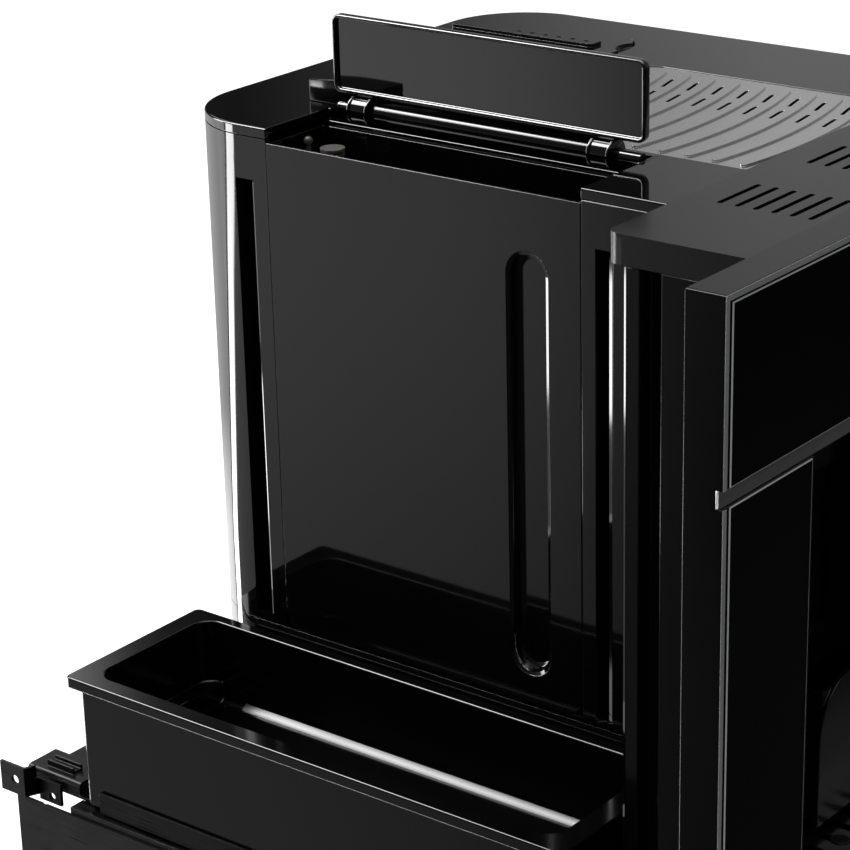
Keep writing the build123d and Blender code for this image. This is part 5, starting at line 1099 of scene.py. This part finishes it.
    def clamp_ring(self, front: float, rear: float) -> bpy.types.Mesh:
        """Build a clamp's ring, with a flange at each end.

        Args:
            front: Its front end.
            rear: Its rear end.

        Returns:
            Its mesh.
        """
        edge = [(place, self.clamp_radius + rise) for place, rise in self.flange_edge]
        edge += [(self.flange - place, radius) for place, radius in reversed(edge)]
        edge += [(self.flange + place, self.clamp_waist + rise) for place, rise in self.flange_root]
        profile = [(front, self.bore_radius)] + [(front + place, radius) for place, radius in edge]
        profile += [(rear - place, radius) for place, radius in reversed(edge)] + [(rear, self.bore_radius)]
        return self.turned(profile, "clamp_ring")

    def clamp_foot(self, front: float, rear: float) -> bpy.types.Mesh:
        """Build a clamp's foot on the beam.

        Args:
            front: The clamp's front end.
            rear: The clamp's rear end.

        Returns:
            Its mesh.
        """
        left, right = self.axis_x - self.foot_half, self.axis_x + self.foot_half
        top = self.axis_z - self.bore_radius - self.foot_gap
        plan = [(left, self.foot), (right, self.foot), (right, top), (left, top)]
        ends = (front + self.foot_inset, rear - self.foot_inset)
        return prism(plan, 1, ends, self.foot_edge, "clamp_foot")


@dataclass
class Top(Assembly):
    """Cup tray, bean lid and what lies under it."""

    softened: dict[str, tuple[Finish, float]] = field(default_factory=lambda: {
        "cup_tray": (PRESSED_STEEL, 0.3),
        "bean_lid": (GLOSS_ABS, 0.6),
        "bean_hopper": (INNER_PP, 0.4),
        "grind_adjuster": (INNER_PP, 0.4),
    })


@dataclass
class SideTray(Assembly):
    """Deep accessory tray beside the body, with a canted fold in it; sizes in mm.

    Attributes:
        fold_run: Width of the fold on the floor.
        fold_rise: Height of the fold on the inner wall.
        fold_sag: How far the fold's face is hollow.
        fold_points: Shares of the fold's width where its hollow face has a point.
        fold_ends: The fold's ends from the tray's front and rear end walls.
        bury: How deep the fold's back lies in the wall and the floor.
        gap: How far the fold stands on the wall's and the floor's faces.
        inner_wall: Inner wall's face from the tray's right side.
        end_wall: End walls' faces from the tray's ends.
        floor: Floor above the tray's bottom.
    """

    softened: dict[str, tuple[Finish, float]] = field(default_factory=lambda: {
        "accessory_tray": (HALF_GLOSS_PS, 1.0),
    })
    fold_run: float = 5.2
    fold_rise: float = 3.8
    fold_sag: float = 0.35
    fold_points: tuple[float, ...] = (0.25, 0.5, 0.75)
    fold_ends: Flat = (6.0, 30.0)
    bury: float = 0.4
    gap: float = 0.02
    inner_wall: float = 8.0
    end_wall: float = 14.0
    floor: float = 33.0

    def build(self) -> None:
        """Dress the tray and lay the canted fold along its inner wall."""
        super().build()
        low, high = box_mm("accessory_tray")
        wall = high.x - self.inner_wall
        floor = low.z + self.floor
        start = wall - self.fold_run
        plan = [(start, floor - self.bury), (start, floor + self.gap)]
        for share in self.fold_points:
            hollow = self.fold_sag * 4 * share * (1 - share)
            plan.append((start + self.fold_run * share, floor + self.fold_rise * share - hollow))
        top = floor + self.fold_rise
        plan += [(wall + self.gap, top), (wall + self.bury, top), (wall + self.bury, floor - self.bury)]
        ends = (low.y + self.end_wall + self.fold_ends[0], high.y - self.end_wall - self.fold_ends[1])
        new_piece("tray_fold", prism(plan, 1, ends, 0.0, "tray_fold"), SATIN_ABS, "accessory_tray")


@dataclass
class Inside(Assembly):
    """Grinder, brew unit, water path and electrics, seen only with the shells off."""

    softened: dict[str, tuple[Finish, float]] = field(default_factory=lambda: {
        "grinder_housing": (INNER_PP, 0.5),
        "grinder_motor": (MOTOR_CAN, 0.5),
        "brew_frame": (INNER_PP, 0.5),
        "brew_chamber": (INNER_PP, 0.5),
        "brew_motor": (MOTOR_CAN, 0.5),
        "thermoblock": (CAST_ALUMINIUM, 0.6),
        "water_pump": (MOTOR_CAN, 0.5),
        "control_board": (LACQUERED_BOARD, 0.3),
        "flow_meter": (WHITE_POM, 0.5),
    })
    plain: dict[str, Finish] = field(default_factory=lambda: {
        "upper_burr": BEARING_STEEL,
        "lower_burr": BEARING_STEEL,
        "brew_piston": INNER_PP,
        "brew_gear": WHITE_POM,
        "water_hoses": SILICONE,
    })


# ------------------------------------------------------------------ studio

def eased(value: Socket, ends: Flat) -> dict[str, Any]:
    """Settings of a map range that goes smoothly from 0 at the first of the ends to 1 at the second."""
    return {"interpolation_type": "SMOOTHSTEP", "From Min": ends[0], "From Max": ends[1], "Value": value}


@dataclass(frozen=True)
class Softbox:
    """A rectangular studio lamp.

    Attributes:
        name: Its name.
        place: Where it hangs, in metres.
        aim: The point that it faces.
        width: Its width, in metres.
        height: Its height, in metres.
        power: Its power, in watts.
    """

    name: str
    place: Point
    aim: Point
    width: float
    height: float
    power: float

    def build(self) -> None:
        """Hang the lamp."""
        lamp = bpy.data.lights.new(self.name, "AREA")
        lamp.shape = "RECTANGLE"
        lamp.size = self.width
        lamp.size_y = self.height
        lamp.energy = self.power
        holder = bpy.data.objects.new(self.name, lamp)
        holder.location = self.place
        towards = Vector(self.aim) - Vector(self.place)
        holder.rotation_euler = towards.to_track_quat("-Z", "Y").to_euler()
        bpy.context.scene.collection.objects.link(holder)


class Band(Enum):
    """Brightness of the studio round the machine at one height: compass degrees to radiance.

    Degrees run from +X towards +Y. BELOW and LEVEL lie under eye level, where the tall leaning panel and the
    glow beyond it are added. ABOVE has the panel's upper end among its own stops.
    """

    BELOW = (
        (-180, 0.04), (-60, 0.02), (-20, 0.02), (20, 0.3), (45, 0.3), (60, 0.1), (98, 0.15), (104, 0.45),
        (138, 0.38), (144, 0.28), (147, 0.1), (149, 0.02), (180, 0.03),
    )
    LEVEL = (
        (-180, 0.02), (-60, 0.01), (-20, 0.01), (15, 0.25), (45, 0.3), (60, 0.1), (98, 0.15), (104, 0.6),
        (138, 0.7), (143, 0.6), (145.5, 0.4), (149, 0.03), (180, 0.03),
    )
    ABOVE = (
        (-180, 0.05), (-60, 0.1), (-10, 0.2), (15, 0.45), (31, 0.4), (36, 0.22), (39, 0.08), (42, 0.02),
        (93, 0.1), (98.5, 12.0), (114, 14.0), (116, 0.2), (180, 0.05),
    )

    def ramp(self, tree: bpy.types.NodeTree, turn: Socket) -> Socket:
        """Add the band as a ramp round the compass.

        Args:
            tree: The world's node tree.
            turn: Compass direction as a share of a full turn, 0.5 at +X.

        Returns:
            The band's radiance, divided by PEAK.
        """
        node = add_node(tree, "ShaderNodeValToRGB", {"Fac": turn})
        stops = node.color_ramp.elements
        while len(stops) > 1:
            stops.remove(stops[-1])
        for index, (degrees, radiance) in enumerate(self.value):
            place = (degrees + 180) / 360
            stop = stops[0] if index == 0 else stops.new(place)
            stop.position = place
            level = radiance / PEAK
            stop.color = (level, level, level, 1.0)
        return add_node(tree, "ShaderNodeRGBToBW", {"Color": node.outputs["Color"]}).outputs["Val"]


@dataclass
class Studio:
    """White studio: floor, surroundings and lamps; angles in degrees, rise above the horizon.

    Attributes:
        ambient: Strength of the world as it lights matt surfaces.
        floor_half: Half the floor's width, in metres.
        floor_drop: Floor under the brackets' feet, in metres.
        floor_glow: Brightness that the camera sees on the floor on top of its own.
        lamps: The lamps.
        panel_rise: Rises between which the tall panel leans.
        panel_turn: Compass direction of its middle at these rises.
        panel_half: Half its width.
        panel_blur: Half the width of its soft edges.
        panel_radiance: Its radiance.
        gap_offset: Middle of the dark gap beyond the panel's edge.
        gap_blur: From the gap's middle, where it is darkest and where it ends.
        gap_level: Brightness that is left in the gap.
        glow_turn: Compass directions between which the glow beyond the gap grows.
        glow_radiance: The glow's radiance at these.
        glow_start: Where the glow sets in, beyond the panel's edge.
        glow_end: Compass directions where the glow fades out.
        deep_rise: Rises between which the glow grows downwards.
        deep_gain: How much stronger the glow is at the lower of these.
        level_rise: Rises over which the band below gives way to the level one.
        above_rise: Rises over which the level band gives way to the one above.
        back_turn: Compass directions of the back panel's sides.
        back_rise: Rises of its lower and upper edge.
        back_blur: Width of its soft edges: first side, last side, lower edge, upper edge.
        back_radiance: Its radiance.
        ceiling_rise: Rises over which the ceiling sets in.
        ceiling_radiance: Its radiance.
    """

    ambient: float = 0.3
    floor_half: float = 6.0
    floor_drop: float = 0.0005
    floor_glow: float = 0.55
    lamps: tuple[Softbox, ...] = (
        Softbox("key_panel", (-0.75, 1.6, 2.1), (0.0, 0.0, 0.3), 0.9, 1.1, 55.0),
        Softbox("overhead", (-0.2, -0.3, 3.0), (0.0, 0.0, 0.3), 1.6, 1.6, 16.0),
    )
    panel_rise: Flat = (-23.0, -15.0)
    panel_turn: Flat = (94.0, 125.0)
    panel_half: float = 5.8
    panel_blur: float = 0.7
    panel_radiance: float = 13.0
    gap_offset: float = 1.7
    gap_blur: Flat = (1.0, 1.9)
    gap_level: float = 0.12
    glow_turn: Flat = (50.0, 100.0)
    glow_radiance: Flat = (0.4, 1.7)
    glow_start: Flat = (2.4, 3.4)
    glow_end: Flat = (35.0, 50.0)
    deep_rise: Flat = (-23.0, -20.5)
    deep_gain: float = 2.6
    level_rise: Flat = (-27.0, -16.0)
    above_rise: Flat = (-10.0, 6.0)
    back_turn: Flat = (45.0, 64.0)
    back_rise: Flat = (21.0, 38.0)
    back_blur: tuple[float, float, float, float] = (3.0, 6.0, 3.0, 5.0)
    back_radiance: float = 2.4
    ceiling_rise: Flat = (38.0, 62.0)
    ceiling_radiance: float = 1.6

    def leaning_panel(
        self, tree: bpy.types.NodeTree, lower: Socket, degrees: Socket, rise: Socket
    ) -> Socket:
        """Add the tall panel, which leans with height, the dark gap beside it and the glow beyond.

        Args:
            tree: The world's node tree.
            lower: Radiance under eye level without the panel.
            degrees: Compass direction.
            rise: Rise above the horizon.

        Returns:
            The radiance with the panel.
        """
        middle = add_node(tree, MAP_RANGE, {
            "From Min": self.panel_rise[0], "From Max": self.panel_rise[1],
            "To Min": self.panel_turn[0], "To Max": self.panel_turn[1], "Value": rise,
        }).outputs[0]
        off = add_node(tree, MATH, {"operation": "SUBTRACT", 0: degrees, 1: middle}).outputs[0]
        beside = add_node(
            tree, MATH, {"operation": "ADD", 0: off, 1: self.panel_half + self.gap_offset}
        ).outputs[0]
        near = add_node(tree, MATH, {"operation": "ABSOLUTE", 0: beside}).outputs[0]
        gap = add_node(tree, MAP_RANGE, eased(near, self.gap_blur)).outputs[0]
        left = add_node(tree, MATH, {"operation": "MAXIMUM", 0: gap, 1: self.gap_level}).outputs[0]
        base = add_node(tree, MATH, {"operation": "MULTIPLY", 0: lower, 1: left}).outputs[0]
        level = add_node(tree, MAP_RANGE, {
            "From Min": self.glow_turn[0], "From Max": self.glow_turn[1],
            "To Min": self.glow_radiance[0], "To Max": self.glow_radiance[1], "Value": degrees,
        }).outputs[0]
        gain = add_node(tree, MAP_RANGE, {
            "From Min": self.deep_rise[0], "From Max": self.deep_rise[1],
            "To Min": self.deep_gain, "To Max": 1.0, "Value": rise,
        }).outputs[0]
        start = (-self.panel_half - self.glow_start[0], -self.panel_half - self.glow_start[1])
        started = add_node(tree, MAP_RANGE, eased(off, start)).outputs[0]
        ended = add_node(tree, MAP_RANGE, eased(degrees, self.glow_end)).outputs[0]
        beyond = add_node(tree, MATH, {"operation": "MULTIPLY", 0: started, 1: ended}).outputs[0]
        strong = add_node(tree, MATH, {"operation": "MULTIPLY", 0: level, 1: gain}).outputs[0]
        glow = add_node(tree, MATH, {"operation": "MULTIPLY", 0: strong, 1: beyond}).outputs[0]
        away = add_node(tree, MATH, {"operation": "ABSOLUTE", 0: off}).outputs[0]
        side = (self.panel_half + self.panel_blur, self.panel_half - self.panel_blur)
        face = add_node(tree, MAP_RANGE, eased(away, side)).outputs[0]
        panel = add_node(tree, MATH, {"operation": "MULTIPLY", 0: face, 1: self.panel_radiance}).outputs[0]
        round_it = add_node(tree, MATH, {"operation": "ADD", 0: base, 1: glow}).outputs[0]
        return add_node(tree, MATH, {"operation": "ADD", 0: round_it, 1: panel}).outputs[0]

    def back_panel(self, tree: bpy.types.NodeTree, degrees: Socket, rise: Socket) -> Socket:
        """Add the high panel behind the machine.

        Args:
            tree: The world's node tree.
            degrees: Compass direction.
            rise: Rise above the horizon.

        Returns:
            The panel's radiance by direction.
        """
        first, last = self.back_turn
        low, high = self.back_rise
        share: Socket | float = self.back_radiance
        for value, start, end in (
            (degrees, first, first + self.back_blur[0]),
            (degrees, last, last - self.back_blur[1]),
            (rise, low, low + self.back_blur[2]),
            (rise, high, high - self.back_blur[3]),
        ):
            side = add_node(tree, MAP_RANGE, eased(value, (start, end))).outputs[0]
            share = add_node(tree, MATH, {"operation": "MULTIPLY", 0: share, 1: side}).outputs[0]
        return share

    def reflected(self, tree: bpy.types.NodeTree) -> Socket:
        """Radiance of the studio as the glossy pieces mirror it: panels, dark gaps and a ceiling.

        Args:
            tree: The world's node tree.

        Returns:
            The radiance by direction.
        """
        way = add_node(tree, "ShaderNodeTexCoord", {}).outputs["Generated"]
        axes = add_node(tree, "ShaderNodeSeparateXYZ", {"Vector": way}).outputs
        angle = add_node(tree, MATH, {"operation": "ARCTAN2", 0: axes["Y"], 1: axes["X"]}).outputs[0]
        turn = add_node(
            tree, MATH, {"operation": "MULTIPLY_ADD", 0: angle, 1: 1 / (2 * math.pi), 2: 0.5}
        ).outputs[0]
        degrees = add_node(tree, MATH, {"operation": "MULTIPLY", 0: angle, 1: 180 / math.pi}).outputs[0]
        lift = add_node(tree, MATH, {"operation": "ARCSINE", 0: axes["Z"]}).outputs[0]
        rise = add_node(tree, MATH, {"operation": "MULTIPLY", 0: lift, 1: 180 / math.pi}).outputs[0]
        up = add_node(tree, MAP_RANGE, eased(rise, self.level_rise)).outputs[0]
        under = add_node(tree, MIX, {
            "data_type": "FLOAT", MixIn.SHARE: up,
            MixIn.NUMBER_A: Band.BELOW.ramp(tree, turn), MixIn.NUMBER_B: Band.LEVEL.ramp(tree, turn),
        }).outputs[MixOut.NUMBER]
        lower = add_node(tree, MATH, {"operation": "MULTIPLY", 0: under, 1: PEAK}).outputs[0]
        over = Band.ABOVE.ramp(tree, turn)
        upper = add_node(tree, MATH, {"operation": "MULTIPLY", 0: over, 1: PEAK}).outputs[0]
        higher = add_node(tree, MAP_RANGE, eased(rise, self.above_rise)).outputs[0]
        bands = add_node(tree, MIX, {
            "data_type": "FLOAT", MixIn.SHARE: higher,
            MixIn.NUMBER_A: self.leaning_panel(tree, lower, degrees, rise), MixIn.NUMBER_B: upper,
        }).outputs[MixOut.NUMBER]
        overhead = add_node(tree, MAP_RANGE, eased(rise, self.ceiling_rise)).outputs[0]
        ceiling = add_node(
            tree, MATH, {"operation": "MULTIPLY", 0: overhead, 1: self.ceiling_radiance}
        ).outputs[0]
        panel = self.back_panel(tree, degrees, rise)
        walls = add_node(tree, MATH, {"operation": "ADD", 0: bands, 1: panel}).outputs[0]
        return add_node(tree, MATH, {"operation": "ADD", 0: walls, 1: ceiling}).outputs[0]

    def surroundings(self) -> None:
        """Make the world white to the camera and to glass, a studio to gloss, and soft elsewhere."""
        world = bpy.data.worlds.new("white_studio")
        world.use_nodes = True
        tree = world.node_tree
        tree.nodes.clear()
        path = add_node(tree, "ShaderNodeLightPath", {}).outputs
        shown = add_node(
            tree, MATH, {"operation": "MAXIMUM", 0: path["Is Camera Ray"], 1: path["Is Transmission Ray"]}
        ).outputs[0]
        plain = add_node(
            tree, MAP_RANGE, {"To Min": self.ambient, "To Max": 1.0, "Value": shown}
        ).outputs[0]
        strength = add_node(tree, MIX, {
            "data_type": "FLOAT", MixIn.SHARE: path["Is Glossy Ray"],
            MixIn.NUMBER_A: plain, MixIn.NUMBER_B: self.reflected(tree),
        }).outputs[MixOut.NUMBER]
        sky = add_node(tree, "ShaderNodeBackground", {"Color": linear("#ffffff"), "Strength": strength})
        add_node(tree, "ShaderNodeOutputWorld", {"Surface": sky.outputs["Background"]})
        bpy.context.scene.world = world

    def floor(self) -> None:
        """Lay the pale floor under the niche brackets."""
        half = self.floor_half
        mesh = bpy.data.meshes.new("studio_floor")
        mesh.from_pydata(
            [(-half, -half, 0), (half, -half, 0), (half, half, 0), (-half, half, 0)], [], [(0, 1, 2, 3)]
        )
        ground = bpy.data.objects.new("studio_floor", mesh)
        bpy.context.scene.collection.objects.link(ground)
        card = bpy.data.materials.new("paper_matt_white")
        card.use_nodes = True
        tree = card.node_tree
        tree.nodes.clear()
        paper = add_node(tree, "ShaderNodeBsdfDiffuse", {"Color": linear("#f7f7f7")}).outputs["BSDF"]
        glow = add_node(
            tree, "ShaderNodeEmission", {"Color": linear("#ffffff"), "Strength": self.floor_glow}
        ).outputs["Emission"]
        both = add_node(tree, "ShaderNodeAddShader", {0: paper, 1: glow}).outputs["Shader"]
        seen = add_node(tree, "ShaderNodeLightPath", {}).outputs["Is Camera Ray"]
        mixed = add_node(tree, "ShaderNodeMixShader", {0: seen, 1: paper, 2: both}).outputs["Shader"]
        add_node(tree, "ShaderNodeOutputMaterial", {"Surface": mixed})
        mesh.materials.append(card)
        ground.location.z = -self.floor_drop
        ground.visible_glossy = False

    def build(self) -> None:
        """Set up the studio."""
        self.surroundings()
        self.floor()
        for lamp in self.lamps:
            lamp.build()
        LOG.info("studio with %d lamps", len(self.lamps))


@dataclass(frozen=True)
class PhotoCamera:
    """Camera where the photographer's stood.

    Attributes:
        place: Its position, in metres.
        heading: Compass angle of its view, from +Y towards +X, in radians.
        dip: Angle of its view below the horizon, in radians.
        roll: Turn about its view, in radians.
        lens_mm: Focal length on a 36 mm sensor.
    """

    place: Point = (-1.2759, -0.8678, 0.8408)
    heading: float = 0.9002
    dip: float = 0.367
    roll: float = 0.0254
    lens_mm: float = 116.66

    def build(self) -> None:
        """Place the camera and make it the scene's."""
        view = Vector((
            math.sin(self.heading) * math.cos(self.dip),
            math.cos(self.heading) * math.cos(self.dip),
            -math.sin(self.dip),
        ))
        right = view.cross(Vector((0, 0, 1))).normalized()
        down = view.cross(right)
        turned_right = math.cos(self.roll) * right + math.sin(self.roll) * down
        turned_down = math.cos(self.roll) * down - math.sin(self.roll) * right
        axes = Matrix((turned_right, -turned_down, -view)).transposed()
        lens = bpy.data.cameras.new("photo_camera")
        lens.lens = self.lens_mm
        lens.sensor_width = 36.0
        lens.clip_start = 0.05
        lens.clip_end = 50.0
        holder = bpy.data.objects.new("photo_camera", lens)
        holder.matrix_world = Matrix.Translation(self.place) @ axes.to_4x4()
        bpy.context.scene.collection.objects.link(holder)
        bpy.context.scene.camera = holder


def main() -> None:
    """Dress the machine, then set up light and camera."""
    logging.basicConfig(level=logging.INFO, format="%(name)s: %(message)s")
    for group in (Rails(), Fascia(), DeckBox(), Body(), Tank(), Flap(), Top(), SideTray(), Inside()):
        group.build()
    Studio().build()
    PhotoCamera().build()
    bpy.context.scene.view_settings.view_transform = "Standard"


if __name__ == "__main__":
    main()
